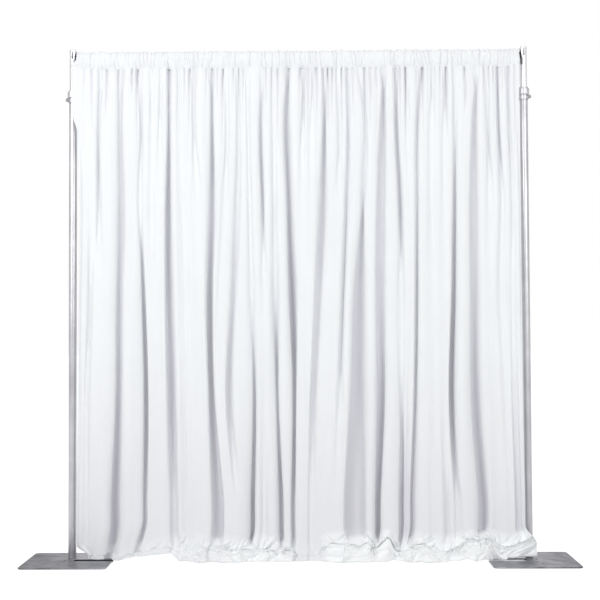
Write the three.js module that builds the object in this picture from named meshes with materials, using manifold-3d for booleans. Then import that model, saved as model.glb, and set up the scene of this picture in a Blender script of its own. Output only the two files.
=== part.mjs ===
// Portable pipe and drape backdrop. Two telescoping uprights stand on flat steel plates, a telescoping
// crossbar hooks into their slotted tops, and four gathered drape panels hang on it by their rod pockets.
// Millimetres, +Z up, the front faces -Y. The origin is on the floor, midway between the plates.
import * as THREE from 'three';
import { mergeVertices } from 'three/addons/utils/BufferGeometryUtils.js';
import Module from 'manifold-3d';

const wasm = await Module();
wasm.setup();

// Driving dimensions

const CLEARANCE = {
  seat: 0.3, // between pieces that rest on or in each other
  running: 0.4, // round a tube that slides in another
  overrun: 2, // how far a cut runs past the face it leaves
};

const STAND = {
  uprightHeight: 2438.4, // from the plate to the mast's top, fully lowered
  crossbarNominal: 2134, // between the facing walls of the two lower tubes
  mastBehindCentre: 57, // of the plate, in depth
  liftTravel: 1219.2,
};

const PLATE = {
  width: 406.4,
  depth: 355.6,
  thickness: 6.35,
  cornerRadius: 22,
  edgeBevel: 0.8,
  slotWidth: 38,
  slotEndFromMast: 18,
  spareHoleRadius: 5,
  frontHoleOutward: 34,
  frontHoleForward: 100,
  middleHoleOutward: 24,
};

const PIN = {
  radius: 16.9,
  height: 152.4,
  wall: 3,
  floor: 10,
  chamfer: 4,
};

const BOLT = {
  shankRadius: 4.75,
  headRadius: 9.2,
  headHeight: 4.6,
  socketRadius: 3.2,
  socketDepth: 2.6,
  nutAcrossCorners: 16.4,
  nutHeight: 8,
  threadPastNut: 3,
};

const LOWER_TUBE = { radius: 19.05, wall: 1.65 };
const UPPER_TUBE = { radius: 17, wall: 1.65 };

const MAST_SLOT = { width: 8.6, length: 36, belowTop: 6 };

const MAST_FOOT = { flangeThickness: 4, plugLength: 28, drainRadius: 5 };

const COLLAR = {
  topBelowMastTop: 195,
  neckRadius: 21.6,
  neckHeight: 8,
  ringRadius: 26.5,
  ringHeight: 29,
  ringChamfer: 2,
  grooveRadius: 21.4,
  grooveHeight: 2.4,
  sleeveRadius: 22.6,
  sleeveHeight: 22,
  sleeveChamfer: 1.2,
  lipThickness: 3,
  bushThickness: 5,
  bossRadius: 10,
  bossHeight: 2.2,
};

const PLUNGER = {
  noseRadius: 3.9,
  holeClearance: 0.4,
  shoulderRadius: 4.7,
  shoulderThickness: 2,
  stemRadius: 2,
  barrelWall: 1.6,
  endWall: 1.6,
  flangeRadius: 9,
  flangeThickness: 3,
  knobWall: 1.8,
  knobFloor: 3.2,
  knobFillet: 1.2,
  wireRadius: 0.45,
  travel: 5,
  holePitch: 152.4,
};

const CROSSBAR = {
  outerRadius: 19.05,
  innerRadius: 17,
  wall: 1.65,
  endGap: 8, // from the mast's wall to the end of the tube
  innerShowing: 58, // of the inner tube at rest
  innerOverlap: 1100, // of the inner tube inside the outer one at rest
  guideLength: 24,
  guideFlange: 4,
};

const HOOK = {
  thickness: 5,
  height: 24,
  neckHeight: 15,
  lipDrop: 8,
  lipThickness: 6,
  lipChamfer: 2,
  plugLength: 62,
  wallClearance: 0.5,
};

const RIVET = { radius: 3, headRadius: 5, headHeight: 1.9, firstFromEnd: 16, spacing: 28 };

const DRAPE = {
  thickness: 2.4,
  pocketDrop: 40, // from the bar's axis to the inside of the pocket's foot
  stitchDrop: 54,
  plyGap: 0.8,
  mastGap: 3, // between the pocket's end and the mast
  edgeInsideMast: 12, // from the mast's axis to the hanging edge
  panelGap: 1,
  gather: 3,
  hangForward: 14, // of the hanging folds ahead of the bar's axis
  headFold: 9,
  footFold: 36,
  edgeForward: 40, // of the outer edges ahead of the mast's axis
  poolForward: 62,
  poolHeight: 90,
  plateMargin: 34, // how far past the plate's edge the hem is still level with its top
};

// The valleys between the folds of each panel, and the panel's own two edges, as shares of the whole drape's
// width from left to right, and how deep each valley is as a share of the deepest.
const PANELS = [
  {
    edgeShares: [0, 0.249],
    valleyShares: [0.058, 0.101, 0.155, 0.211],
    depthShares: [0.7, 1, 0.8, 0.9],
  },
  {
    edgeShares: [0.249, 0.487],
    valleyShares: [0.303, 0.35, 0.395, 0.448],
    depthShares: [1, 0.8, 0.8, 0.7],
  },
  {
    edgeShares: [0.487, 0.762],
    valleyShares: [0.543, 0.603, 0.64, 0.684, 0.731],
    depthShares: [0.8, 0.9, 1, 0.9, 0.8],
  },
  {
    edgeShares: [0.762, 1],
    valleyShares: [0.8, 0.843, 0.895, 0.951],
    depthShares: [0.7, 1, 1, 0.8],
  },
];
const EDGE_DEPTH_SHARE = 0.6;
// Stations from one valley towards the next, as shares of the distance, closer together on the ridge.
const STATION_SHARES = [0, 0.28, 0.5, 0.72];
// Rows of the hanging cloth, as shares of the drop from the stitch line down to the top of the pool.
const ROW_SHARES = [0.05, 0.14, 0.35, 0.6, 0.82, 1];
// Rows of the pool: how far down, and how far forward, as shares of the pool's height and reach.
const POOL_SHARES = [
  { down: 0.55, forward: 0.2 },
  { down: 1, forward: 0.6 },
  { down: 1, forward: 1 },
];

const SEGMENTS = { tube: 24, small: 12, hole: 8, corner: 5, slotEnd: 4, spring: 8, wire: 5 };
const SPRING_TURNS = 5;
// The corners of the pocket's section, counted from its foot at the back, over the bar, to its foot in front.
const POCKET_CORNERS = 8;
const POCKET_STEP = Math.PI / 4;
const POCKET_START = -1.5 * POCKET_STEP;
const POCKET_SWELL = 1.5;
const WELD = 1e-4;

// Places worked out from the sizes

const mastX = (STAND.crossbarNominal + 2 * LOWER_TUBE.radius) / 2;
const mastY = STAND.mastBehindCentre;
const plateTop = PLATE.thickness;
const mastTop = plateTop + STAND.uprightHeight;
const pinFoot = plateTop + CLEARANCE.seat;
const pinTop = pinFoot + PIN.height;
const lowerBore = LOWER_TUBE.radius - LOWER_TUBE.wall;
const upperBore = UPPER_TUBE.radius - UPPER_TUBE.wall;
const mastFoot = pinTop + CLEARANCE.seat;
const upperTubeFoot = mastFoot + MAST_FOOT.flangeThickness + CLEARANCE.seat;
const collarTop = mastTop - COLLAR.topBelowMastTop;
const bushFoot = collarTop - COLLAR.lipThickness - CLEARANCE.seat - COLLAR.bushThickness;
const lowerTubeTop = bushFoot - CLEARANCE.seat;
const ringTop = collarTop - COLLAR.neckHeight;
const ringFoot = ringTop - COLLAR.ringHeight;
const sleeveTop = ringFoot - COLLAR.grooveHeight;
const sleeveFoot = sleeveTop - COLLAR.sleeveHeight;
const plungerZ = (sleeveTop + sleeveFoot) / 2;
const slotFoot = mastTop - MAST_SLOT.belowTop - MAST_SLOT.length;
const slotRise = MAST_SLOT.width / 2 - Math.sqrt((MAST_SLOT.width ** 2 - HOOK.thickness ** 2) / 4);
const neckFoot = slotFoot + slotRise + CLEARANCE.seat;
const barZ = neckFoot + HOOK.neckHeight / 2;
const barEndX = mastX - UPPER_TUBE.radius - CROSSBAR.endGap;

const MATERIALS = {
  aluminium: { color: 0xc6c8cc, metalness: 1, roughness: 0.34 },
  castAluminium: { color: 0xaeb0b6, metalness: 1, roughness: 0.5 },
  plateSteel: { color: 0x8f9097, metalness: 0.85, roughness: 0.48 },
  brightSteel: { color: 0xbfc1c4, metalness: 1, roughness: 0.28 },
  springSteel: { color: 0x9a9ca0, metalness: 1, roughness: 0.3 },
  nylon: { color: 0x26272b, metalness: 0, roughness: 0.55 },
  cloth: { color: 0xf1f2f5, metalness: 0, roughness: 0.95 },
};

// Helpers

function weld(geometry) {
  const bare = geometry.clone();
  bare.deleteAttribute('normal');
  bare.deleteAttribute('uv');
  const merged = mergeVertices(bare, WELD);
  const index = merged.index.array;
  const kept = [];
  for (let i = 0; i < index.length; i += 3) {
    const [a, b, c] = [index[i], index[i + 1], index[i + 2]];
    if (a !== b && b !== c && c !== a) kept.push(a, b, c);
  }
  merged.setIndex(kept);
  return merged;
}

function toSolid(geometry) {
  const merged = weld(geometry);
  return new wasm.Manifold(
    new wasm.Mesh({
      numProp: 3,
      vertProperties: Float32Array.from(merged.attributes.position.array),
      triVerts: Uint32Array.from(merged.index.array),
    }),
  );
}

function toGeometry(solid) {
  const mesh = solid.getMesh();
  const geometry = new THREE.BufferGeometry();
  geometry.setAttribute('position', new THREE.BufferAttribute(Float32Array.from(mesh.vertProperties), 3));
  geometry.setIndex(Array.from(mesh.triVerts));
  geometry.computeVertexNormals();
  return geometry;
}

// The first geometry with each of the others cut away.
function cut(body, cutters) {
  let solid = toSolid(body);
  for (const cutter of cutters) solid = solid.subtract(toSolid(cutter));
  return toGeometry(solid);
}

function named(name, geometry, material) {
  const mesh = new THREE.Mesh(geometry, new THREE.MeshStandardMaterial(MATERIALS[material]));
  mesh.name = name;
  return mesh;
}

// A solid of revolution about +Z from [radius, height] points, which run up the outside.
function turned(points, segments) {
  const profile = points.map(([radius, height]) => new THREE.Vector2(radius, height));
  return weld(new THREE.LatheGeometry(profile, segments)).rotateX(Math.PI / 2);
}

// A turned ring: its points close on themselves.
function ring(points, segments) {
  return turned([...points, points[0]], segments);
}

function tube(radius, bore, low, high, segments = SEGMENTS.tube) {
  return ring([[radius, low], [radius, high], [bore, high], [bore, low]], segments);
}

function rod(radius, low, high, segments = SEGMENTS.small) {
  return turned([[0, low], [radius, low], [radius, high], [0, high]], segments);
}

// Turns a shape that was made along +Z to lie along a level direction.
function layAlong(geometry, direction) {
  const turn = new THREE.Quaternion().setFromUnitVectors(new THREE.Vector3(0, 0, 1), direction);
  return geometry.applyQuaternion(turn);
}

// A slot cutter with round ends: its width and length in the shape's plane, pushed through both sides.
function slotCutter(width, length, reach) {
  const half = length / 2 - width / 2;
  const outline = new THREE.Shape();
  outline.absarc(0, half, width / 2, 0, Math.PI, false);
  outline.absarc(0, -half, width / 2, Math.PI, 2 * Math.PI, false);
  return new THREE.ExtrudeGeometry(outline, {
    depth: 2 * reach,
    bevelEnabled: false,
    curveSegments: SEGMENTS.slotEnd,
  }).translate(0, 0, -reach);
}

// Base plate: a rounded steel plate with the nesting slot open to its inner edge

function plateOutline(side) {
  const halfWidth = PLATE.width / 2 - PLATE.edgeBevel;
  const halfDepth = PLATE.depth / 2 - PLATE.edgeBevel;
  const corner = PLATE.cornerRadius;
  const slotHalf = PLATE.slotWidth / 2 + PLATE.edgeBevel;
  const slotEnd = PLATE.slotEndFromMast + slotHalf;
  // Drawn with the slot opening to +X, then mirrored for the other plate.
  const outline = new THREE.Shape();
  outline.moveTo(halfWidth, slotHalf);
  outline.lineTo(halfWidth, halfDepth - corner);
  outline.absarc(halfWidth - corner, halfDepth - corner, corner, 0, Math.PI / 2, false);
  outline.absarc(corner - halfWidth, halfDepth - corner, corner, Math.PI / 2, Math.PI, false);
  outline.absarc(corner - halfWidth, corner - halfDepth, corner, Math.PI, 1.5 * Math.PI, false);
  outline.absarc(halfWidth - corner, corner - halfDepth, corner, 1.5 * Math.PI, 2 * Math.PI, false);
  outline.lineTo(halfWidth, -slotHalf);
  outline.absarc(slotEnd, 0, slotHalf, 1.5 * Math.PI, Math.PI / 2, true);
  outline.closePath();
  if (side < 0) return outline;
  const mirrored = outline.getPoints(SEGMENTS.corner).map((point) => new THREE.Vector2(-point.x, point.y));
  return new THREE.Shape(mirrored);
}

function basePlate(side) {
  const body = new THREE.ExtrudeGeometry(plateOutline(side), {
    depth: PLATE.thickness - 2 * PLATE.edgeBevel,
    bevelThickness: PLATE.edgeBevel,
    bevelSize: PLATE.edgeBevel,
    bevelSegments: 1,
    curveSegments: SEGMENTS.corner,
  }).translate(0, 0, PLATE.edgeBevel);
  const low = -CLEARANCE.overrun;
  const high = PLATE.thickness + CLEARANCE.overrun;
  const sinkRadius = BOLT.headRadius + CLEARANCE.seat;
  const boltRadius = BOLT.shankRadius + CLEARANCE.seat;
  const sink = turned([
    [0, low], [sinkRadius, low], [sinkRadius, CLEARANCE.seat], [boltRadius, BOLT.headHeight + CLEARANCE.seat],
    [boltRadius, high], [0, high],
  ], SEGMENTS.small).translate(0, mastY, 0);
  const frontHole = rod(PLATE.spareHoleRadius, low, high, SEGMENTS.hole)
    .translate(side * PLATE.frontHoleOutward, -PLATE.frontHoleForward, 0);
  const middleHole = rod(PLATE.spareHoleRadius, low, high, SEGMENTS.hole)
    .translate(side * PLATE.middleHoleOutward, 0, 0);
  return cut(body, [sink, frontHole, middleHole]);
}

// Slip-fit pin, its countersunk bolt and its nut

function basePin() {
  const bore = PIN.radius - PIN.wall;
  const hole = BOLT.shankRadius + CLEARANCE.seat;
  return ring([
    [PIN.radius, 0], [PIN.radius, PIN.height - PIN.chamfer], [PIN.radius - PIN.wall / 2, PIN.height],
    [bore, PIN.height], [bore, PIN.floor], [hole, PIN.floor], [hole, 0],
  ], SEGMENTS.tube);
}

function baseBolt() {
  const top = pinFoot + PIN.floor + CLEARANCE.seat + BOLT.nutHeight + BOLT.threadPastNut;
  const recess = BOLT.socketDepth;
  return turned([
    [0, recess], [BOLT.socketRadius, recess], [BOLT.socketRadius, CLEARANCE.seat],
    [BOLT.headRadius, CLEARANCE.seat], [BOLT.shankRadius, BOLT.headHeight], [BOLT.shankRadius, top], [0, top],
  ], SEGMENTS.small);
}

function baseNut() {
  const hole = BOLT.shankRadius + CLEARANCE.seat;
  const hexagonSides = 6;
  const body = rod(BOLT.nutAcrossCorners / 2, 0, BOLT.nutHeight, hexagonSides);
  return cut(body, [rod(hole, -CLEARANCE.overrun, BOLT.nutHeight + CLEARANCE.overrun)]);
}

// Lower tube: plain, with the one hole that the lock pin passes

function lowerTube(lockDirection) {
  const body = tube(LOWER_TUBE.radius, lowerBore, pinFoot, lowerTubeTop);
  const reach = LOWER_TUBE.radius + CLEARANCE.overrun;
  const hole = rod(PLUNGER.noseRadius + PLUNGER.holeClearance, 0, reach, SEGMENTS.hole);
  return cut(body, [layAlong(hole, lockDirection).translate(0, 0, plungerZ)]);
}

// Upper tube: four hook slots round its top and a row of lock holes below

function upperTube(lockDirection) {
  const body = tube(UPPER_TUBE.radius, upperBore, upperTubeFoot, mastTop);
  const reach = UPPER_TUBE.radius + CLEARANCE.overrun;
  const slotZ = slotFoot + MAST_SLOT.length / 2;
  const throughY = slotCutter(MAST_SLOT.width, MAST_SLOT.length, reach).rotateX(Math.PI / 2);
  const throughX = throughY.clone().rotateZ(Math.PI / 2);
  const cutters = [throughX.translate(0, 0, slotZ), throughY.translate(0, 0, slotZ)];
  const holeCount = Math.floor(STAND.liftTravel / PLUNGER.holePitch);
  for (let i = 1; i <= holeCount; i += 1) {
    const hole = rod(PLUNGER.noseRadius + PLUNGER.holeClearance, 0, reach, SEGMENTS.hole);
    cutters.push(layAlong(hole, lockDirection).translate(0, 0, plungerZ - i * PLUNGER.holePitch));
  }
  return cut(body, cutters);
}

// Plastic foot plug of the mast: its flange guides the tube and rests on the slip-fit pin

function footPlug() {
  const flange = lowerBore - CLEARANCE.seat;
  const plug = upperBore - CLEARANCE.seat;
  const flangeTop = MAST_FOOT.flangeThickness;
  const top = flangeTop + MAST_FOOT.plugLength;
  return ring([
    [flange, 0], [flange, flangeTop], [plug, flangeTop], [plug, top],
    [MAST_FOOT.drainRadius, top], [MAST_FOOT.drainRadius, 0],
  ], SEGMENTS.tube);
}

// Collar: a cast ring and sleeve over the lower tube's top, with the boss of the lock plunger

function collar(lockDirection) {
  const bore = LOWER_TUBE.radius + CLEARANCE.seat;
  const lip = UPPER_TUBE.radius + CLEARANCE.running + CLEARANCE.seat;
  const bevel = COLLAR.ringChamfer;
  const edge = COLLAR.sleeveChamfer;
  const body = ring([
    [COLLAR.sleeveRadius - edge, sleeveFoot], [COLLAR.sleeveRadius, sleeveFoot + edge],
    [COLLAR.sleeveRadius, sleeveTop], [COLLAR.grooveRadius, sleeveTop], [COLLAR.grooveRadius, ringFoot],
    [COLLAR.ringRadius - bevel, ringFoot], [COLLAR.ringRadius, ringFoot + bevel],
    [COLLAR.ringRadius, ringTop - bevel], [COLLAR.ringRadius - bevel, ringTop], [COLLAR.neckRadius, ringTop],
    [COLLAR.neckRadius, collarTop - edge], [COLLAR.neckRadius - edge, collarTop], [lip, collarTop],
    [lip, collarTop - COLLAR.lipThickness], [bore, collarTop - COLLAR.lipThickness], [bore, sleeveFoot],
  ], SEGMENTS.tube);
  const bossFace = COLLAR.sleeveRadius + COLLAR.bossHeight;
  const boss = layAlong(rod(COLLAR.bossRadius, bore, bossFace), lockDirection).translate(0, 0, plungerZ);
  const barrelHole = barrelRadius + CLEARANCE.seat;
  const hole = layAlong(rod(barrelHole, 0, bossFace + CLEARANCE.overrun), lockDirection)
    .translate(0, 0, plungerZ);
  const inside = rod(bore, sleeveFoot - CLEARANCE.overrun, collarTop - COLLAR.lipThickness, SEGMENTS.tube);
  return toGeometry(toSolid(body).add(toSolid(boss)).subtract(toSolid(hole)).subtract(toSolid(inside)));
}

function collarBush() {
  const bore = UPPER_TUBE.radius + CLEARANCE.running;
  return tube(LOWER_TUBE.radius, bore, 0, COLLAR.bushThickness);
}

// Lock plunger, made along +Z as its radial direction, with the mast's axis at zero

const springRoom = PLUNGER.shoulderRadius + CLEARANCE.seat;
const barrelRadius = springRoom + PLUNGER.barrelWall;
const barrelFoot = LOWER_TUBE.radius + CLEARANCE.seat;
const springSolid = 2 * PLUNGER.wireRadius * (SPRING_TURNS + 1);
const barrelRoom = PLUNGER.shoulderThickness + PLUNGER.travel + springSolid + CLEARANCE.running;
const barrelEnd = barrelFoot + barrelRoom + PLUNGER.endWall;
const shoulderFoot = barrelFoot;
const shoulderTop = shoulderFoot + PLUNGER.shoulderThickness;
const flangeFoot = COLLAR.sleeveRadius + COLLAR.bossHeight + CLEARANCE.seat;
const flangeTop = flangeFoot + PLUNGER.flangeThickness;
const knobFloorFoot = barrelEnd + CLEARANCE.seat;
const knobEnd = knobFloorFoot + PLUNGER.knobFloor;

function plungerBarrel() {
  const stemHole = PLUNGER.stemRadius + CLEARANCE.seat;
  const endWallFoot = barrelEnd - PLUNGER.endWall;
  return ring([
    [barrelRadius, barrelFoot], [barrelRadius, flangeFoot], [PLUNGER.flangeRadius, flangeFoot],
    [PLUNGER.flangeRadius, flangeTop], [barrelRadius, flangeTop],
    [barrelRadius, barrelEnd], [stemHole, barrelEnd],
    [stemHole, endWallFoot], [springRoom, endWallFoot], [springRoom, barrelFoot],
  ], SEGMENTS.small);
}

function plungerPin() {
  const nose = UPPER_TUBE.radius + CLEARANCE.seat;
  const stemEnd = knobEnd - CLEARANCE.seat - PLUNGER.knobFillet;
  return turned([
    [0, nose], [PLUNGER.noseRadius, nose], [PLUNGER.noseRadius, shoulderFoot],
    [PLUNGER.shoulderRadius, shoulderFoot], [PLUNGER.shoulderRadius, shoulderTop],
    [PLUNGER.stemRadius, shoulderTop], [PLUNGER.stemRadius, stemEnd], [0, stemEnd],
  ], SEGMENTS.small);
}

// A cup over the barrel's end, blind at its outer face where the stem screws in.
function plungerKnob() {
  const cupBore = barrelRadius + CLEARANCE.running;
  const radius = cupBore + PLUNGER.knobWall;
  const skirt = flangeTop + CLEARANCE.running;
  const socket = PLUNGER.stemRadius + CLEARANCE.seat;
  const socketEnd = knobEnd - PLUNGER.knobFillet;
  const fillet = PLUNGER.knobFillet;
  return turned([
    [0, socketEnd], [socket, socketEnd], [socket, knobFloorFoot], [cupBore, knobFloorFoot], [cupBore, skirt],
    [radius, skirt], [radius, knobEnd - fillet], [radius - fillet, knobEnd], [0, knobEnd],
  ], SEGMENTS.small);
}

class Helix extends THREE.Curve {
  constructor(radius, low, high, turns) {
    super();
    Object.assign(this, { radius, low, high, turns });
  }

  getPoint(t, target = new THREE.Vector3()) {
    const angle = 2 * Math.PI * this.turns * t;
    const height = this.low + (this.high - this.low) * t;
    return target.set(this.radius * Math.cos(angle), this.radius * Math.sin(angle), height);
  }
}

// A closed tube swept along a curve, with its frames worked out from the curve's own axis.
function sweptWire(curve, steps, radius, sides) {
  const positions = [];
  const index = [];
  const up = new THREE.Vector3(0, 0, 1);
  for (let i = 0; i <= steps; i += 1) {
    const centre = curve.getPoint(i / steps);
    const out = new THREE.Vector3(centre.x, centre.y, 0).normalize();
    for (let j = 0; j < sides; j += 1) {
      const angle = (2 * Math.PI * j) / sides;
      const offset = out.clone().multiplyScalar(Math.cos(angle)).addScaledVector(up, Math.sin(angle));
      positions.push(...centre.clone().addScaledVector(offset, radius).toArray());
    }
  }
  for (let i = 0; i < steps; i += 1) {
    for (let j = 0; j < sides; j += 1) {
      const [a, b] = [i * sides + j, i * sides + ((j + 1) % sides)];
      index.push(a, a + sides, b, b, a + sides, b + sides);
    }
  }
  const last = steps * sides;
  for (let j = 1; j < sides - 1; j += 1) {
    index.push(0, j, j + 1, last, last + j + 1, last + j);
  }
  const geometry = new THREE.BufferGeometry();
  geometry.setAttribute('position', new THREE.Float32BufferAttribute(positions, 3));
  geometry.setIndex(index);
  return geometry;
}

function plungerSpring() {
  const meanRadius = springRoom - PLUNGER.wireRadius - CLEARANCE.seat;
  const low = shoulderTop + CLEARANCE.seat + PLUNGER.wireRadius;
  const high = barrelEnd - PLUNGER.endWall - CLEARANCE.seat - PLUNGER.wireRadius;
  const coil = new Helix(meanRadius, low, high, SPRING_TURNS);
  return sweptWire(coil, SPRING_TURNS * SEGMENTS.spring, PLUNGER.wireRadius, SEGMENTS.wire);
}

// Crossbar: two tubes, one sliding in the other, with a hook blade riveted in a plug at each outer end

const crossbarBore = CROSSBAR.outerRadius - CROSSBAR.wall;
const innerBarBore = CROSSBAR.innerRadius - CROSSBAR.wall;
const outerBarEndX = barEndX - CROSSBAR.innerShowing;
const innerBarStartX = outerBarEndX - CROSSBAR.innerOverlap;

function alongX(geometry) {
  return geometry.rotateY(Math.PI / 2);
}

function rivetPlaces() {
  return [RIVET.firstFromEnd, RIVET.firstFromEnd + RIVET.spacing];
}

// Holes for the rivets, across a piece whose outer end is at barEndX on one side.
function rivetHoles(side, reach) {
  return rivetPlaces().map((fromEnd) => rod(RIVET.radius + CLEARANCE.seat, -reach, reach, SEGMENTS.hole)
    .rotateX(Math.PI / 2)
    .translate(side * (barEndX - fromEnd), 0, 0));
}

function crossbarTube(side, radius, start, end) {
  const body = alongX(tube(radius, radius - CROSSBAR.wall, start, end));
  return cut(body, rivetHoles(side, radius + CLEARANCE.overrun));
}

function crossbarPlug(side, bore) {
  const radius = bore - CLEARANCE.seat;
  const low = barEndX - HOOK.plugLength;
  const body = alongX(rod(radius, low, barEndX, SEGMENTS.tube));
  const [width, thickness, height] = [
    HOOK.plugLength + 2 * CLEARANCE.overrun,
    HOOK.thickness + 2 * CLEARANCE.seat,
    HOOK.height + 2 * CLEARANCE.seat,
  ];
  const blade = new THREE.BoxGeometry(width, thickness, height)
    .translate(barEndX - HOOK.plugLength / 2, 0, 0);
  if (side < 0) {
    body.rotateZ(Math.PI);
    blade.rotateZ(Math.PI);
  }
  return cut(body, [blade, ...rivetHoles(side, radius + CLEARANCE.overrun)]);
}

// The hook's blade: a neck through the mast's slot and a lip that hangs behind its wall.
function hookBlade(side) {
  const wallOuter = mastX - UPPER_TUBE.radius;
  const innerWall = wallOuter + UPPER_TUBE.wall + HOOK.wallClearance;
  const outerWall = wallOuter - HOOK.wallClearance;
  const lipEnd = innerWall + HOOK.lipThickness;
  const root = barEndX - HOOK.plugLength + RIVET.radius;
  const neckTop = HOOK.neckHeight / 2;
  const neckLow = -neckTop;
  const lipLow = neckLow - HOOK.lipDrop;
  const edge = HOOK.lipChamfer;
  const half = HOOK.height / 2;
  const outline = new THREE.Shape([
    [root, -half], [barEndX, -half], [outerWall, neckLow], [innerWall, neckLow], [innerWall, lipLow],
    [lipEnd - edge, lipLow], [lipEnd, lipLow + edge], [lipEnd, neckTop - edge], [lipEnd - edge, neckTop],
    [outerWall, neckTop], [barEndX, half], [root, half],
  ].map(([x, z]) => new THREE.Vector2(x, z)));
  const body = new THREE.ExtrudeGeometry(outline, { depth: HOOK.thickness, bevelEnabled: false })
    .translate(0, 0, -HOOK.thickness / 2)
    .rotateX(Math.PI / 2);
  if (side < 0) body.rotateZ(Math.PI);
  return cut(body, rivetHoles(side, HOOK.thickness));
}

function hookRivet(radius) {
  const seat = radius + CLEARANCE.seat;
  const head = seat + RIVET.headHeight;
  return turned([
    [0, -head], [RIVET.headRadius / 2, -head], [RIVET.headRadius, -seat], [RIVET.radius, -seat],
    [RIVET.radius, seat], [RIVET.headRadius, seat], [RIVET.headRadius / 2, head], [0, head],
  ], SEGMENTS.hole).rotateX(Math.PI / 2);
}

function crossbarGuide() {
  const flange = crossbarBore - CLEARANCE.seat;
  const plug = innerBarBore - CLEARANCE.seat;
  const start = innerBarStartX - CLEARANCE.seat - CROSSBAR.guideFlange;
  const flangeEnd = start + CROSSBAR.guideFlange;
  const end = flangeEnd + CROSSBAR.guideLength;
  return alongX(ring([
    [flange, start], [flange, flangeEnd], [plug, flangeEnd], [plug, end],
    [MAST_FOOT.drainRadius, end], [MAST_FOOT.drainRadius, start],
  ], SEGMENTS.tube));
}

// Drape panels: each is one ribbon of cloth, from the flap behind its stitch line, round the bar, and down
// through the folds to the pool at its foot

const drapeHalf = mastX - DRAPE.edgeInsideMast;
const pocketHalf = mastX - UPPER_TUBE.radius - DRAPE.mastGap;
const hangTop = barZ - DRAPE.stitchDrop;

// The pocket's inner radius at an angle about the bar, measured from +Y: it touches the bar's top and sags.
function pocketRadius(angle) {
  const top = (CROSSBAR.outerRadius + CLEARANCE.seat) / Math.cos(POCKET_STEP / 2);
  const sag = ((1 - Math.sin(angle)) / 2) ** POCKET_SWELL;
  return top + (DRAPE.pocketDrop - top) * sag;
}

// The stations across one panel: for each, its share of the drape's width and its fold, from -1 on a ridge
// to the valley's depth share.
function foldStations({ edgeShares, valleyShares, depthShares }) {
  const stops = [edgeShares[0], ...valleyShares, edgeShares[1]];
  const depths = [EDGE_DEPTH_SHARE, ...depthShares, EDGE_DEPTH_SHARE];
  const stations = [];
  for (let i = 0; i < stops.length - 1; i += 1) {
    const last = i === stops.length - 2;
    for (const t of last ? [...STATION_SHARES, 1] : STATION_SHARES) {
      const ridge = (1 - Math.cos(2 * Math.PI * t)) / 2;
      const valley = depths[i] + (depths[i + 1] - depths[i]) * t;
      stations.push({ share: stops[i] + (stops[i + 1] - stops[i]) * t, fold: valley - (1 + valley) * ridge });
    }
  }
  return stations;
}

// The height of whatever the cloth's foot lies on: the plate near either end, and the floor between them.
function restingHeight(x) {
  const plateEdge = mastX - PLATE.width / 2 - DRAPE.plateMargin;
  return (Math.abs(x) > plateEdge ? plateTop : 0) + CLEARANCE.seat + DRAPE.thickness / 2;
}

// The middle of the cloth at one station, row by row, from the flap's edge to the hem.
function clothColumn({ share, fold }) {
  const across = 2 * share - 1;
  const pocketX = across * pocketHalf;
  const x = across * drapeHalf;
  const half = DRAPE.thickness / 2;
  const gathered = (DRAPE.gather * (1 - fold)) / 2;
  const rows = [new THREE.Vector3(pocketX, mastY + half + DRAPE.plyGap, hangTop)];
  for (let i = 0; i < POCKET_CORNERS; i += 1) {
    const angle = POCKET_START + i * POCKET_STEP;
    const radius = pocketRadius(angle) + half + gathered * Math.abs(Math.cos(angle));
    rows.push(new THREE.Vector3(pocketX, mastY + radius * Math.cos(angle), barZ + radius * Math.sin(angle)));
  }
  rows.push(new THREE.Vector3(pocketX, mastY - half, hangTop));
  // Only the last fold at either end is drawn forward, clear of the mast and its collar.
  const nearMast = THREE.MathUtils.smoothstep(Math.abs(across), 1 - DRAPE.edgeForward / drapeHalf, 1);
  const poolTop = restingHeight(x) + DRAPE.poolHeight;
  const level = (drop) => {
    const size = THREE.MathUtils.lerp(DRAPE.headFold, DRAPE.footFold, Math.sqrt(drop));
    const forward = DRAPE.hangForward * Math.min(1, drop / ROW_SHARES[1]);
    const hanging = mastY - forward + size * fold;
    return THREE.MathUtils.lerp(hanging, mastY - DRAPE.edgeForward, nearMast);
  };
  for (const drop of ROW_SHARES) {
    rows.push(new THREE.Vector3(x, level(drop), THREE.MathUtils.lerp(hangTop, poolTop, drop)));
  }
  for (const { down, forward } of POOL_SHARES) {
    const z = poolTop - down * DRAPE.poolHeight;
    rows.push(new THREE.Vector3(x, level(1) - forward * DRAPE.poolForward, z));
  }
  return rows;
}

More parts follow.
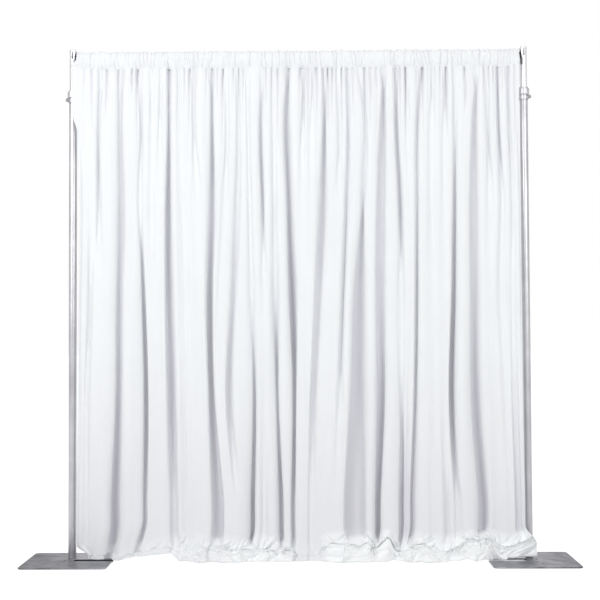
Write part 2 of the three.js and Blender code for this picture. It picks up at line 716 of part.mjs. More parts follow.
// Gives a grid of points a thickness and closes it all round, with its side edges square to +X.
function thickSheet(columns, thickness) {
  const [across, down] = [columns.length, columns[0].length];
  const { clamp } = THREE.MathUtils;
  const at = (i, j) => columns[clamp(i, 0, across - 1)][clamp(j, 0, down - 1)];
  const positions = [];
  for (const offset of [thickness / 2, -thickness / 2]) {
    for (let i = 0; i < across; i += 1) {
      for (let j = 0; j < down; j += 1) {
        const alongRow = at(i + 1, j).clone().sub(at(i - 1, j));
        const alongColumn = at(i, j + 1).clone().sub(at(i, j - 1));
        const normal = alongColumn.cross(alongRow);
        if (i === 0 || i === across - 1) normal.x = 0;
        positions.push(...at(i, j).clone().addScaledVector(normal.normalize(), offset).toArray());
      }
    }
  }
  const index = [];
  const quad = (a, b, c, d) => index.push(a, b, c, a, c, d);
  const front = (i, j) => i * down + j;
  const back = (i, j) => (across + i) * down + j;
  for (let i = 0; i < across - 1; i += 1) {
    for (let j = 0; j < down - 1; j += 1) {
      quad(front(i, j), front(i, j + 1), front(i + 1, j + 1), front(i + 1, j));
      quad(back(i, j), back(i + 1, j), back(i + 1, j + 1), back(i, j + 1));
    }
    quad(front(i, 0), front(i + 1, 0), back(i + 1, 0), back(i, 0));
    quad(front(i + 1, down - 1), front(i, down - 1), back(i, down - 1), back(i + 1, down - 1));
  }
  for (let j = 0; j < down - 1; j += 1) {
    quad(front(0, j + 1), front(0, j), back(0, j), back(0, j + 1));
    quad(front(across - 1, j), front(across - 1, j + 1), back(across - 1, j + 1), back(across - 1, j));
  }
  const geometry = new THREE.BufferGeometry();
  geometry.setAttribute('position', new THREE.Float32BufferAttribute(positions, 3));
  geometry.setIndex(index);
  return geometry;
}

function drapePanel(panel) {
  const stations = foldStations(panel);
  const inset = DRAPE.panelGap / 2 / (2 * drapeHalf);
  const [first, last] = [stations[0], stations[stations.length - 1]];
  if (first.share > 0) first.share += inset;
  if (last.share < 1) last.share -= inset;
  return thickSheet(stations.map(clothColumn), DRAPE.thickness);
}

// Assembly

function stand(side, label) {
  const lockDirection = new THREE.Vector3(side, -1, 0).normalize();
  const group = new THREE.Group();
  const atMast = new THREE.Group();
  atMast.position.y = mastY;
  const lock = new THREE.Group();
  lock.quaternion.setFromUnitVectors(new THREE.Vector3(0, 0, 1), lockDirection);
  lock.position.z = plungerZ;
  lock.add(
    named(`lock_barrel_${label}`, plungerBarrel(), 'brightSteel'),
    named(`lock_pin_${label}`, plungerPin(), 'brightSteel'),
    named(`lock_spring_${label}`, plungerSpring(), 'springSteel'),
    named(`lock_knob_${label}`, plungerKnob(), 'nylon'),
  );
  const pin = named(`base_pin_${label}`, basePin(), 'brightSteel');
  pin.position.z = pinFoot;
  const nut = named(`base_nut_${label}`, baseNut(), 'brightSteel');
  nut.position.z = pinFoot + PIN.floor + CLEARANCE.seat;
  const foot = named(`mast_foot_${label}`, footPlug(), 'nylon');
  foot.position.z = mastFoot;
  const bush = named(`collar_bush_${label}`, collarBush(), 'nylon');
  bush.position.z = bushFoot;
  atMast.add(
    pin,
    nut,
    foot,
    bush,
    lock,
    named(`base_bolt_${label}`, baseBolt(), 'brightSteel'),
    named(`lower_tube_${label}`, lowerTube(lockDirection), 'aluminium'),
    named(`collar_${label}`, collar(lockDirection), 'castAluminium'),
    named(`upper_tube_${label}`, upperTube(lockDirection), 'aluminium'),
  );
  group.add(named(`base_plate_${label}`, basePlate(side), 'plateSteel'), atMast);
  group.position.x = side * mastX;
  return group;
}

function crossbar() {
  const group = new THREE.Group();
  group.position.set(0, mastY, barZ);
  group.add(
    named('crossbar_outer', crossbarTube(-1, CROSSBAR.outerRadius, -barEndX, outerBarEndX), 'aluminium'),
    named('crossbar_inner', crossbarTube(1, CROSSBAR.innerRadius, innerBarStartX, barEndX), 'aluminium'),
    named('crossbar_guide', crossbarGuide(), 'nylon'),
    named('hook_plug_left', crossbarPlug(-1, crossbarBore), 'nylon'),
    named('hook_plug_right', crossbarPlug(1, innerBarBore), 'nylon'),
    named('hook_left', hookBlade(-1), 'plateSteel'),
    named('hook_right', hookBlade(1), 'plateSteel'),
  );
  const ends = [
    { side: -1, label: 'left', radius: CROSSBAR.outerRadius },
    { side: 1, label: 'right', radius: CROSSBAR.innerRadius },
  ];
  for (const { side, label, radius } of ends) {
    rivetPlaces().forEach((fromEnd, i) => {
      const rivet = named(`hook_rivet_${label}_${i + 1}`, hookRivet(radius), 'brightSteel');
      rivet.position.x = side * (barEndX - fromEnd);
      group.add(rivet);
    });
  }
  return group;
}

function drape() {
  const group = new THREE.Group();
  PANELS.forEach((panel, i) => group.add(named(`drape_panel_${i + 1}`, drapePanel(panel), 'cloth')));
  return group;
}

const backdrop = new THREE.Group();
backdrop.name = 'pipe_and_drape_backdrop';
backdrop.add(stand(-1, 'left'), stand(1, 'right'), crossbar(), drape());
backdrop.updateMatrixWorld(true);

export default backdrop;
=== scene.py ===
"""Looks of a portable pipe and drape backdrop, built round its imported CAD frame.

Metres, +X to the viewer's right, the front faces -Y, +Z up. The tubes, collars, locks and rivets are turned
or swept finely from their real profiles, the base plates, hooks and hidden pieces are the CAD solids with
better finishes, and the four drape panels are gathered sheets worked out fold by fold.
"""
from __future__ import annotations

import logging
import math
from dataclasses import dataclass
from enum import Enum

import bmesh
import bpy
import numpy as np
from mathutils import Matrix, Vector


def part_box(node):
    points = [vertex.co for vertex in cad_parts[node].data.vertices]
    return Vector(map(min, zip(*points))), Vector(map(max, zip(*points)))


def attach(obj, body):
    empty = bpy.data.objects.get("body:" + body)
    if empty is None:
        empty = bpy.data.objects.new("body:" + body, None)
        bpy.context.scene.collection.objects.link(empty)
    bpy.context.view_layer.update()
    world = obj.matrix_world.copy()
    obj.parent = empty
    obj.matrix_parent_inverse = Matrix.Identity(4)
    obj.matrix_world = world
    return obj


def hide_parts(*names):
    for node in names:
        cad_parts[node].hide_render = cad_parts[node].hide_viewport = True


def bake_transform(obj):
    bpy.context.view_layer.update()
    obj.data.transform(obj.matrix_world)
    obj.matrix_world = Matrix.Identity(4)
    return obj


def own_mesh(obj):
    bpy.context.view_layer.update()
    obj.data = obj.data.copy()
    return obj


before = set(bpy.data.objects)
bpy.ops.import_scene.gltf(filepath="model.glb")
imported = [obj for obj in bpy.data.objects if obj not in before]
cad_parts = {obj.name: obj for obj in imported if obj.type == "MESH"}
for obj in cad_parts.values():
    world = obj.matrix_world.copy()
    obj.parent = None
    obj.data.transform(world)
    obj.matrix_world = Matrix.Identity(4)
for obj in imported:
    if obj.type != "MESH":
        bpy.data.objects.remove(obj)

LOG = logging.getLogger("backdrop")
MM = 0.001
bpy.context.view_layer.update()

Pair = tuple[float, float]
Triple = tuple[float, float, float]
Piece = bpy.types.Object
Array = np.ndarray


class Side(Enum):
    """One of the two uprights, by the sign of its place on X."""

    LEFT = -1
    RIGHT = 1

    @property
    def word(self) -> str:
        """The side's word in the names of its nodes and bodies."""
        return self.name.lower()


# Shader wires


class Wire:
    """An output socket of a placed node, whose arithmetic adds Math nodes."""

    def __init__(self, bench: Bench, node: bpy.types.Node, output: str | int = 0) -> None:
        """Takes one output of the node, or none of a node that ends its tree."""
        self.bench, self.node = bench, node
        self.socket = node.outputs[output] if node.outputs else None

    def out(self, output: str | int) -> Wire:
        """Another output of the same node."""
        return Wire(self.bench, self.node, output)

    def math(self, operation: str, first: Wire | float, second: Wire | float = 0.0) -> Wire:
        """Adds one Math node and returns its result."""
        return self.bench.node("ShaderNodeMath", {"operation": operation}, {0: first, 1: second})

    def __add__(self, other: Wire | float) -> Wire:
        """The sum of two values."""
        return self.math("ADD", self, other)

    __radd__ = __add__

    def __sub__(self, other: Wire | float) -> Wire:
        """The difference of two values."""
        return self.math("SUBTRACT", self, other)

    def __rsub__(self, other: float) -> Wire:
        """A number less this value."""
        return self.math("SUBTRACT", other, self)

    def __mul__(self, other: Wire | float) -> Wire:
        """The product of two values."""
        return self.math("MULTIPLY", self, other)

    __rmul__ = __mul__

    def __abs__(self) -> Wire:
        """The value without its sign."""
        return self.math("ABSOLUTE", self)

    def larger(self, other: Wire) -> Wire:
        """The larger of two values."""
        return self.math("MAXIMUM", self, other)

    def above(self, low: float, high: float) -> Wire:
        """0 below low, 1 above high, and straight between them."""
        values = {"Value": self, "From Min": low, "From Max": high}
        return self.bench.node("ShaderNodeMapRange", {"clamp": True}, values)


class Bench:
    """The nodes of one material or world, and the one way to add to them."""

    def __init__(self, owner: bpy.types.Material | bpy.types.World) -> None:
        """Clears the owner's nodes.

        Args:
            owner: what the nodes belong to.
        """
        owner.use_nodes = True
        self.owner, self.tree = owner, owner.node_tree
        self.tree.nodes.clear()

    def node(self, kind: str, settings: dict | None = None, values: dict | None = None) -> Wire:
        """Adds a node.

        Args:
            kind: the node's type.
            settings: its properties, set before its sockets.
            values: a value or a wire for each of its input sockets, by name or number.

        Returns:
            Its first output.
        """
        node = self.tree.nodes.new(kind)
        for name, value in (settings or {}).items():
            setattr(node, name, value)
        for name, value in (values or {}).items():
            if isinstance(value, Wire):
                self.tree.links.new(value.socket, node.inputs[name])
            else:
                node.inputs[name].default_value = value
        return Wire(self, node)

    def object_place(self, stretch: Triple = (1, 1, 1)) -> Wire:
        """Object coordinates, multiplied along each axis."""
        place = self.node("ShaderNodeTexCoord").out("Object")
        return self.node("ShaderNodeMapping", {}, {"Vector": place, "Scale": stretch})

    def sheet_place(self, stretch: Triple = (1, 1, 1)) -> Wire:
        """The piece's own flat coordinates, in metres, multiplied along each axis."""
        place = self.node("ShaderNodeUVMap", {"uv_map": "flat"})
        return self.node("ShaderNodeMapping", {}, {"Vector": place, "Scale": stretch})

    def mark(self, name: str) -> Wire:
        """The piece's own attribute of a name."""
        return self.node("ShaderNodeAttribute", {"attribute_name": name}).out("Fac")

    def noise(self, place: Wire, scale: float, detail: float = 3.0, roughness: float = 0.5) -> Wire:
        """A noise between 0 and 1 at a place."""
        values = {"Vector": place, "Scale": scale, "Detail": detail, "Roughness": roughness}
        return self.node("ShaderNodeTexNoise", {}, values).out("Fac")

    def tint(self, share: Wire | float, low: Wire | Triple, high: Wire | Triple) -> Wire:
        """A colour between two, by a share."""
        start, end = (colour if isinstance(colour, Wire) else (*colour, 1) for colour in (low, high))
        return self.node("ShaderNodeMix", {"data_type": "RGBA"}, {0: share, 6: start, 7: end}).out(2)

    def bump(self, height: Wire, strength: float, distance: float) -> Wire:
        """A bumped normal from a height."""
        return self.node("ShaderNodeBump", {}, {"Height": height, "Strength": strength, "Distance": distance})

    def surface(self, values: dict) -> bpy.types.Material:
        """Ends the material in a Principled shader.

        Args:
            values: a value or a wire for each of the shader's sockets.

        Returns:
            The material.
        """
        shader = self.node("ShaderNodeBsdfPrincipled", {}, values)
        self.node("ShaderNodeOutputMaterial", {}, {"Surface": shader})
        return self.owner


# Finishes


@dataclass(frozen=True)
class Cloth:
    """Matt white woven polyester: a plain weave, soft creases and a faint change of tone along the yarn.

    The valley attribute paints shade into the sheet's valleys and tucks. The attribute heaped paints light on
    the cloth that lies crumpled on the floor and deepens its creases. Painted shade greys the cloth at the
    hem; a metre up there is none.
    """

    name: str = "white_cloth"
    shade: Triple = (0.796, 0.813, 0.829)
    light: Triple = (0.829, 0.848, 0.865)
    # Painted shade of the valleys and tucks.
    valley_shade: Triple = (0.605, 0.585, 0.65)
    # Painted light on the cloth heaped on the floor.
    crumpled: Triple = (0.94, 0.955, 0.965)
    # Painted shade towards the hem, and the heights over which it fades out.
    hem_shade: Triple = (0.775, 0.783, 0.805)
    hem_shade_heights: Pair = (0.35, 1.0)
    valley_shade_share: float = 0.43
    yarn: float = 0.0006
    weave_relief: float = 0.06
    heap_creases: float = 5.0

    def build(self) -> bpy.types.Material:
        """Builds the material on the sheet's flat coordinates and its attributes.

        Returns:
            The cloth material: base colour and bump vary, the rest is constant.
        """
        bench = Bench(bpy.data.materials.new(self.name))
        flat = bench.sheet_place()
        streak = bench.noise(bench.sheet_place((60, 1.5, 1)), 1.0, 2.0)
        crease = bench.noise(bench.sheet_place((1, 0.35, 1)), 42.0, 4.0, 0.6)
        yarns = {"Vector": flat, "Scale": 1 / self.yarn / 20}
        warp, weft = (bench.node("ShaderNodeTexWave", {"bands_direction": way}, yarns).out("Fac")
                      for way in "XY")
        heaped = bench.mark("heaped")
        tone = (streak * 0.5 + bench.noise(flat, 4.0) * 0.5).above(0.35, 0.65)
        # Painted shade: the cloth greys below a metre, most at the hem.
        unshaded = bench.node("ShaderNodeSeparateXYZ", {}, {0: flat}).out("Y").above(*self.hem_shade_heights)
        hung = bench.tint(unshaded, self.hem_shade, bench.tint(tone, self.shade, self.light))
        # Painted shade in the valleys and tucks, from the sheet's valley depth.
        valley = bench.mark("valley_shade").above(0.25, 0.50) * self.valley_shade_share
        height = warp * weft * self.weave_relief + crease * (1 + heaped * self.heap_creases)
        return bench.surface({
            # Base colour with painted shade in the valleys and painted light on the heap.
            "Base Color": bench.tint(valley, bench.tint(heaped, hung, self.crumpled), self.valley_shade),
            "Roughness": 0.9,
            "Sheen Weight": 0.25,
            "Sheen Roughness": 0.5,
            "Specular IOR Level": 0.25,
            "Normal": bench.bump(height, 0.25, 0.0008),
        })


@dataclass(frozen=True)
class Metal:
    """A bare metal with drawn streaks, soft blotches and fine scratches.

    slit is the middle and half the width on Y, and the top on Z, of a slot whose walls are painted near black
    as shadow.
    A painted reflection brightens the metal inwards between two distances from the middle on X, where it
    starts and stops.
    """

    name: str
    dark: Triple
    light: Triple
    roughness: float
    streaks: Triple = (1, 1, 1)
    grain: float = 60.0
    blotch: float = 8.0
    relief: float = 0.00006
    slit: Triple | None = None
    # Painted reflection of the drape, brightening the metal inwards.
    painted_reflection: Pair | None = None
    # Near-black painted shadow on the slot's walls.
    cut: Triple = (0.012, 0.011, 0.012)

    def build(self) -> bpy.types.Material:
        """Builds the material on object coordinates.

        Returns:
            The metal: colour, roughness and bump vary, the rest is constant.
        """
        bench = Bench(bpy.data.materials.new(self.name))
        place = bench.object_place()
        axes = bench.node("ShaderNodeSeparateXYZ", {}, {0: place})
        drawn = bench.noise(bench.object_place(self.streaks), self.grain, 4.0, 0.6)
        cloud = bench.noise(place, self.blotch, 5.0, 0.6)
        speck = bench.noise(place, self.grain * 12, 2.0)
        tone = (drawn * 0.45 + cloud * 0.55).above(0.36, 0.64)
        # Painted reflection: the metal lightens towards the middle.
        if self.painted_reflection:
            tone = tone * 0.45 + abs(axes).above(*self.painted_reflection) * 0.55
        colour = bench.tint(tone, self.dark, self.light)
        # Painted shadow: the slot's walls are near black.
        if self.slit:
            middle, half, top = self.slit
            inside = (half - abs(axes.out("Y") - middle)).above(-0.4 * MM, -0.2 * MM)
            colour = bench.tint(inside * (top - axes.out("Z")).above(0.1 * MM, 0.4 * MM), colour, self.cut)
        return bench.surface({
            "Base Color": colour,
            "Metallic": 1.0,
            "Roughness": self.roughness * 0.8 + (cloud * 0.6 + speck * 0.4) * (self.roughness * 0.4),
            "Normal": bench.bump(drawn * 0.7 + speck * 0.3, 0.35, self.relief),
        })


@dataclass(frozen=True)
class Nylon:
    """Moulded nylon with a fine grain."""

    name: str = "black_nylon"
    dark: Triple = (0.012, 0.012, 0.014)
    light: Triple = (0.03, 0.03, 0.034)

    def build(self) -> bpy.types.Material:
        """Builds the material on object coordinates.

        Returns:
            The nylon: colour and bump vary.
        """
        bench = Bench(bpy.data.materials.new(self.name))
        place = bench.object_place()
        return bench.surface({
            "Base Color": bench.tint(bench.noise(place, 30.0).above(0.35, 0.65), self.dark, self.light),
            "Roughness": 0.45,
            "Normal": bench.bump(bench.noise(place, 900.0), 0.3, 0.00005),
        })


class Finishes:
    """Every finish on the backdrop, each built once."""

    def __init__(self) -> None:
        """Builds the materials: name, dark and light tone, roughness, streaks, grain, blotches."""
        along_x, along_z, even = (0.02, 1, 1), (1, 1, 0.02), (1, 1, 1)
        self.cloth = Cloth().build()
        self.tube = Metal("drawn_aluminium", (0.38, 0.38, 0.40), (0.55, 0.55, 0.57), 0.40, along_z, 240,
                          5).build()
        self.bar = Metal("drawn_aluminium_bar", (0.42, 0.42, 0.44), (0.60, 0.60, 0.62), 0.34, along_x, 240,
                         5).build()
        self.cast = Metal("cast_aluminium", (0.42, 0.42, 0.44), (0.58, 0.58, 0.60), 0.48, even, 700, 40,
                          relief=0.00015).build()
        # The plate carries painted shadow on its slot's walls and a painted reflection of the drape at its
        # inner end.
        self.plate = Metal("rolled_plate", (0.03, 0.03, 0.04), (0.42, 0.42, 0.45), 0.45, (0.15, 1, 1), 90, 14,
                           relief=0.0001, slit=(0, 19 * MM, 6.35 * MM), painted_reflection=(1.25, 0.90)).build()
        self.mast = Metal("drawn_aluminium_mast", (0.54, 0.54, 0.56), (0.74, 0.74, 0.76), 0.38, along_z, 240,
                          5).build()
        self.bright = Metal("bright_steel", (0.55, 0.55, 0.57), (0.70, 0.70, 0.72), 0.28, even, 300,
                            30).build()
        self.spring = Metal("spring_steel", (0.35, 0.35, 0.37), (0.50, 0.50, 0.52), 0.30, even, 500,
                            60).build()
        self.hook = Metal("hook_steel", (0.06, 0.06, 0.065), (0.13, 0.13, 0.14), 0.5, even, 200, 40).build()
        self.nylon = Nylon().build()
        self.grip = Nylon("grip_nylon", (0.30, 0.30, 0.31), (0.40, 0.40, 0.41)).build()


# Surfaces


def smooth(share: Array | float) -> Array:
    """A soft step: 3t^2 - 2t^3 of a share clipped to 0 and 1."""
    t = np.clip(share, 0, 1)
    return t * t * (3 - 2 * t)


def lattice(x: Array, y: Array | float, seed: int) -> Array:
    """A soft seeded noise between -1 and 1, one cell per unit of x and y.

    Random numbers stand on a grid of whole coordinates, and a point takes the four round it, weighted by
    the soft step of its place between them.

    Args:
        x: first coordinate.
        y: second coordinate.
        seed: which table of random numbers is used.

    Returns:
        The noise at every point.
    """
    cells = 128
    table = np.random.default_rng(seed).uniform(-1, 1, (cells, cells))
    x, y = np.broadcast_arrays(x, y)
    column, row = np.floor(x).astype(int), np.floor(y).astype(int)
    u, v = smooth(x - column), smooth(y - row)
    corner = [[table[(column + i) % cells, (row + j) % cells] for j in (0, 1)] for i in (0, 1)]
    low, high = (corner[0][j] * (1 - u) + corner[1][j] * u for j in (0, 1))
    return low * (1 - v) + high * v


def creases(t: Array, half: float, seed: int) -> Array:
    """One crease at each whole t, of its own seeded strength.

    Args:
        t: where to read the creases.
        half: how far from its line a crease falls to 0.
        seed: which table gives the strengths.

    Returns:
        The creases, up to 1 on a line.
    """
    line = np.round(t)
    strength = np.clip(0.55 + 0.9 * lattice(line * 1.37, 0, seed), 0, 1)
    return strength * np.clip(1 - np.abs(t - line) / half, 0, 1)


def through(places: Array, knots: Array, values: Array) -> Array:
    """Smooth curves through values at rising knots.

    Between two knots each curve is the cubic whose slopes at both are the mean slope of their neighbours
    (Hermite form), and past the ends it stays level.

    Args:
        places: where to read the curves, shape (n,).
        knots: rising knots, shape (k,).
        values: one row of k values per curve, shape (m, k).

    Returns:
        The curves, shape (m, n).
    """
    places = np.clip(places, knots[0], knots[-1])
    slope = np.gradient(values, knots, axis=1)
    index = np.clip(np.searchsorted(knots, places) - 1, 0, len(knots) - 2)
    span = knots[index + 1] - knots[index]
    t = (places - knots[index]) / span
    return ((2 * t**3 - 3 * t**2 + 1) * values[:, index] + (t**3 - 2 * t**2 + t) * span * slope[:, index]
            + (3 * t**2 - 2 * t**3) * values[:, index + 1] + (t**3 - t**2) * span * slope[:, index + 1])


def grid_faces(rows: int, columns: int, close_rows: bool = False, close_columns: bool = False) -> Array:
    """The quads of a grid of points, numbered row by row.

    Args:
        rows: how many rows of points.
        columns: how many points in a row.
        close_rows: joins the last row to the first.
        close_columns: joins the last column to the first.

    Returns:
        Four point numbers per quad.
    """
    i = np.arange(rows if close_rows else rows - 1)[:, None]
    j = np.arange(columns if close_columns else columns - 1)[None, :]
    down, across = (i + 1) % rows, (j + 1) % columns
    quad = [i * columns + j, i * columns + across, down * columns + across, down * columns + j]
    return np.stack([np.broadcast_to(q, (len(i), j.shape[1])).ravel() for q in quad], axis=1)


def lay_mesh(name: str, points: Array, faces: Array, flat: Array | None = None,
             sharp: float = 35.0) -> Piece:
    """Puts points and quads into a new smooth-shaded object at the origin.

    Args:
        name: the piece's name.
        points: places in metres, shape (..., 3).
        faces: point numbers, shape (m, 4).
        flat: flat coordinates of the points in metres, shape (..., 2), for the map named flat.
        sharp: edges that turn by more degrees than this stay crisp.

    Returns:
        The new object.
    """
    mesh = bpy.data.meshes.new(name)
    mesh.vertices.add(points.size // 3)
    mesh.vertices.foreach_set("co", np.ascontiguousarray(points, np.float32).ravel())
    mesh.loops.add(faces.size)
    mesh.loops.foreach_set("vertex_index", faces.ravel().astype(np.int32))
    mesh.polygons.add(len(faces))
    mesh.polygons.foreach_set("loop_start", np.arange(0, faces.size, faces.shape[1], dtype=np.int32))
    mesh.polygons.foreach_set("use_smooth", np.ones(len(faces), bool))
    if flat is not None:
        layer = mesh.uv_layers.new(name="flat")
        layer.data.foreach_set("uv", flat.reshape(-1, 2)[faces.ravel()].astype(np.float32).ravel())
    mesh.update(calc_edges=True)
    mesh.validate()
    if sharp < 180:
        mesh.set_sharp_from_angle(angle=math.radians(sharp))
    piece = bpy.data.objects.new(name, mesh)
    bpy.context.scene.collection.objects.link(piece)
    return piece


def tidy_shell(piece: Piece) -> Piece:
    """Merges the doubles of a closed shell and points its faces outwards.

    Args:
        piece: the shell.

    Returns:
        The same piece.
    """
    work = bmesh.new()
    work.from_mesh(piece.data)
    bmesh.ops.remove_doubles(work, verts=work.verts, dist=1e-7)
    bmesh.ops.dissolve_degenerate(work, edges=work.edges, dist=1e-8)
    bmesh.ops.recalc_face_normals(work, faces=work.faces)
    work.to_mesh(piece.data)
    work.free()
    return piece


def eased(profile: list[Pair] | Array, radius: float, steps: int = 3) -> Array:
    """A closed profile with its corners eased.

    Each corner becomes the quadratic curve that leaves one edge and joins the next at the radius, or at
    0.45 of a shorter edge.

    Args:
        profile: the corners as (radius, height), in metres.
        radius: how far from a corner its curve starts.
        steps: straight pieces per corner.

    Returns:
        The points, shape (n, 2).
    """
    corner = np.array(profile, float)
    edges = [np.roll(corner, 1, axis=0) - corner, np.roll(corner, -1, axis=0) - corner]
    lengths = [np.linalg.norm(edge, axis=1, keepdims=True) for edge in edges]
    start, end = (edge / length * np.minimum(radius, 0.45 * length) for edge, length in zip(edges, lengths))
    t = np.linspace(0, 1, steps + 1)[None, :, None]
    curve = corner[:, None] + (1 - t) ** 2 * start[:, None] + t**2 * end[:, None]
    return curve.reshape(-1, 2)


def aimed(points: Array, foot: Triple, direction: Triple) -> Array:
    """Points turned so that +Z becomes a direction, and moved to a foot."""
    turn = np.array(Vector((0, 0, 1)).rotation_difference(Vector(direction)).to_matrix())
    return points.reshape(-1, 3) @ turn.T + np.array(foot)


def turned(name: str, profile: Array, foot: Triple, direction: Triple = (0, 0, 1), segments: int = 96,
           ribs: tuple[int, float, float, float] | None = None) -> Piece:
    """Turns a closed profile about an axis.

    A point at angle a is (r cos a, r sin a, h), turned so that +Z is the direction, and moved to the foot.
    Ribs add depth * |cos(count * a / 2)| to the radius between two heights, on the outermost points.

    Args:
        name: the piece's name.
        profile: closed loop of (radius, height).
        foot: where the axis has height zero.
        direction: the axis.
        segments: steps round the axis.
        ribs: count, depth, lowest and highest height of a grip's ribs.

    Returns:
        The closed piece.
    """
    angle = np.linspace(0, 2 * np.pi, segments, endpoint=False)[None, :]
    radius = np.broadcast_to(profile[:, :1], (len(profile), segments)).copy()
    height = np.broadcast_to(profile[:, 1:], (len(profile), segments))
    if ribs:
        count, depth, low, high = ribs
        outer = (profile[:, 0] > profile[:, 0].max() - 1e-5) & (profile[:, 1] > low) & (profile[:, 1] < high)
        radius += outer[:, None] * depth * (np.abs(np.cos(count * angle / 2)) - 1)
    points = np.stack([radius * np.cos(angle), radius * np.sin(angle), height], axis=2)
    faces = grid_faces(len(profile), segments, True, True)
    return tidy_shell(lay_mesh(name, aimed(points, foot, direction), faces))


def tube_loop(outer: float, wall: float, low: float, high: float) -> Array:
    """The closed profile of a plain tube with eased mouths."""
    bore = outer - wall
    return eased([(outer, low), (outer, high), (bore, high), (bore, low)], 0.6 * MM)


def finish(piece: Piece, material: bpy.types.Material, body: str, slot: str, *nodes: str) -> Piece:
    """Dresses a piece, rides it on its body and lets it stand for its CAD nodes.

    Args:
        piece: the new piece.
        material: its finish.
        body: the body that it moves with.
        slot: not used.
        nodes: the CAD nodes that it replaces.

    Returns:
        The same piece.
    """
    piece.data.materials.append(material)
    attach(piece, body)
    if nodes:
        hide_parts(*nodes)
    LOG.info("%s: %d faces, on %s", piece.name, len(piece.data.polygons), body)
    return piece


def dress(node: str, material: bpy.types.Material) -> None:
    """Gives a CAD node its finish.

    Args:
        node: the node's name.
        material: its finish.
    """
    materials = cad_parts[node].data.materials
    materials.clear()
    materials.append(material)
    LOG.info("%s: CAD solid dressed", node)


# Uprights


@dataclass
class Upright:
    """One telescoping upright: its plate, pin, lower tube, and the inner tube with four slots at its top."""

    side: Side
    finishes: Finishes
    lower_radius: float = 19.05 * MM
    upper_radius: float = 17.0 * MM
    wall: float = 1.65 * MM
    slot_width: float = 8.6 * MM
    slot_length: float = 36.0 * MM
    slot_below_top: float = 6.0 * MM

    def __post_init__(self) -> None:
        """Reads the tubes' places from the frame."""
        low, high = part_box(f"upper_tube_{self.side.word}")
        self.axis = ((low.x + high.x) / 2, (low.y + high.y) / 2)
        self.upper_span = (low.z, high.z)
        low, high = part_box(f"lower_tube_{self.side.word}")
        self.lower_span = (low.z, high.z)

    def lower_tube(self) -> Piece:
        """Turns the lower tube with eased mouths."""
        loop = tube_loop(self.lower_radius, self.wall, *self.lower_span)
        return turned(f"upright_lower_tube_{self.side.word}", loop, (*self.axis, 0), segments=72)

    def upper_tube(self) -> Piece:
        """The inner tube, with a slot with round ends in each quarter of its top.

        The wall is a grid of angle and height. Inside a slot's width w the rows that bound it move up or
        down by sqrt((w/2)^2 - s^2), where s is the way round from the slot's middle, and the quads between
        those rows are left out. Solidify then gives the wall its thickness.

        Returns:
            The tube, a closed wall.
        """
        half_width = self.slot_width / 2
        half_angle = math.asin(half_width / self.upper_radius)
        inside = half_angle * np.sin(np.linspace(-np.pi / 2, np.pi / 2, 9))
        between = np.linspace(half_angle, np.pi / 2 - half_angle, 11)[1:-1]
        quarter = np.concatenate([inside, between])
        angle = np.concatenate([quarter + k * np.pi / 2 for k in range(4)])
        low, high = self.upper_span
        slot_high = high - self.slot_below_top - half_width
        slot_low = high - self.slot_below_top - self.slot_length + half_width
        heights = np.concatenate([
            np.linspace(low, slot_low - 30 * MM, 12), [slot_low - 12 * MM, slot_low],
            np.linspace(slot_low, slot_high, 5)[1:], [slot_high + 7.2 * MM, high],
        ])
        way = self.upper_radius * np.sin((angle + np.pi / 4) % (np.pi / 2) - np.pi / 4)
        bow = np.sqrt(np.clip(half_width**2 - way**2, 0, None))[None, :]
        row = heights[:, None]
        at_high, at_low = (np.where(np.abs(row - end) < 1e-6, 1.0, 0) for end in (slot_high, slot_low))
        z = row + (at_high - at_low) * bow
        points = np.stack([
            self.axis[0] + self.upper_radius * np.cos(angle) + 0 * z,
            self.axis[1] + self.upper_radius * np.sin(angle) + 0 * z, z], axis=2)
        faces = grid_faces(len(heights), len(angle), close_columns=True)
        middle = (row[:-1] + row[1:]) / 2
        column = np.arange(len(angle)) % len(quarter)
        gap = ((middle > slot_low) & (middle < slot_high)) & (column < len(inside) - 1)[None, :]
        piece = lay_mesh(f"upright_upper_tube_{self.side.word}", points, faces[~gap.ravel()])
        wall = piece.modifiers.new("wall", "SOLIDIFY")
        wall.thickness, wall.offset = self.wall, -1
        return piece

    def build(self) -> None:
        """Builds and dresses the upright's pieces."""
        word, kit = self.side.word, self.finishes
        finish(self.lower_tube(), kit.tube, f"{word}_stand", "tube_aluminium", f"lower_tube_{word}")
        finish(self.upper_tube(), kit.mast, f"{word}_mast", "tube_aluminium", f"upper_tube_{word}")
        solids = {"base_plate": kit.plate, "base_pin": kit.bright, "base_bolt": kit.bright,
                  "base_nut": kit.bright, "mast_foot": kit.nylon, "collar_bush": kit.nylon}
        for node, material in solids.items():
            dress(f"{node}_{word}", material)


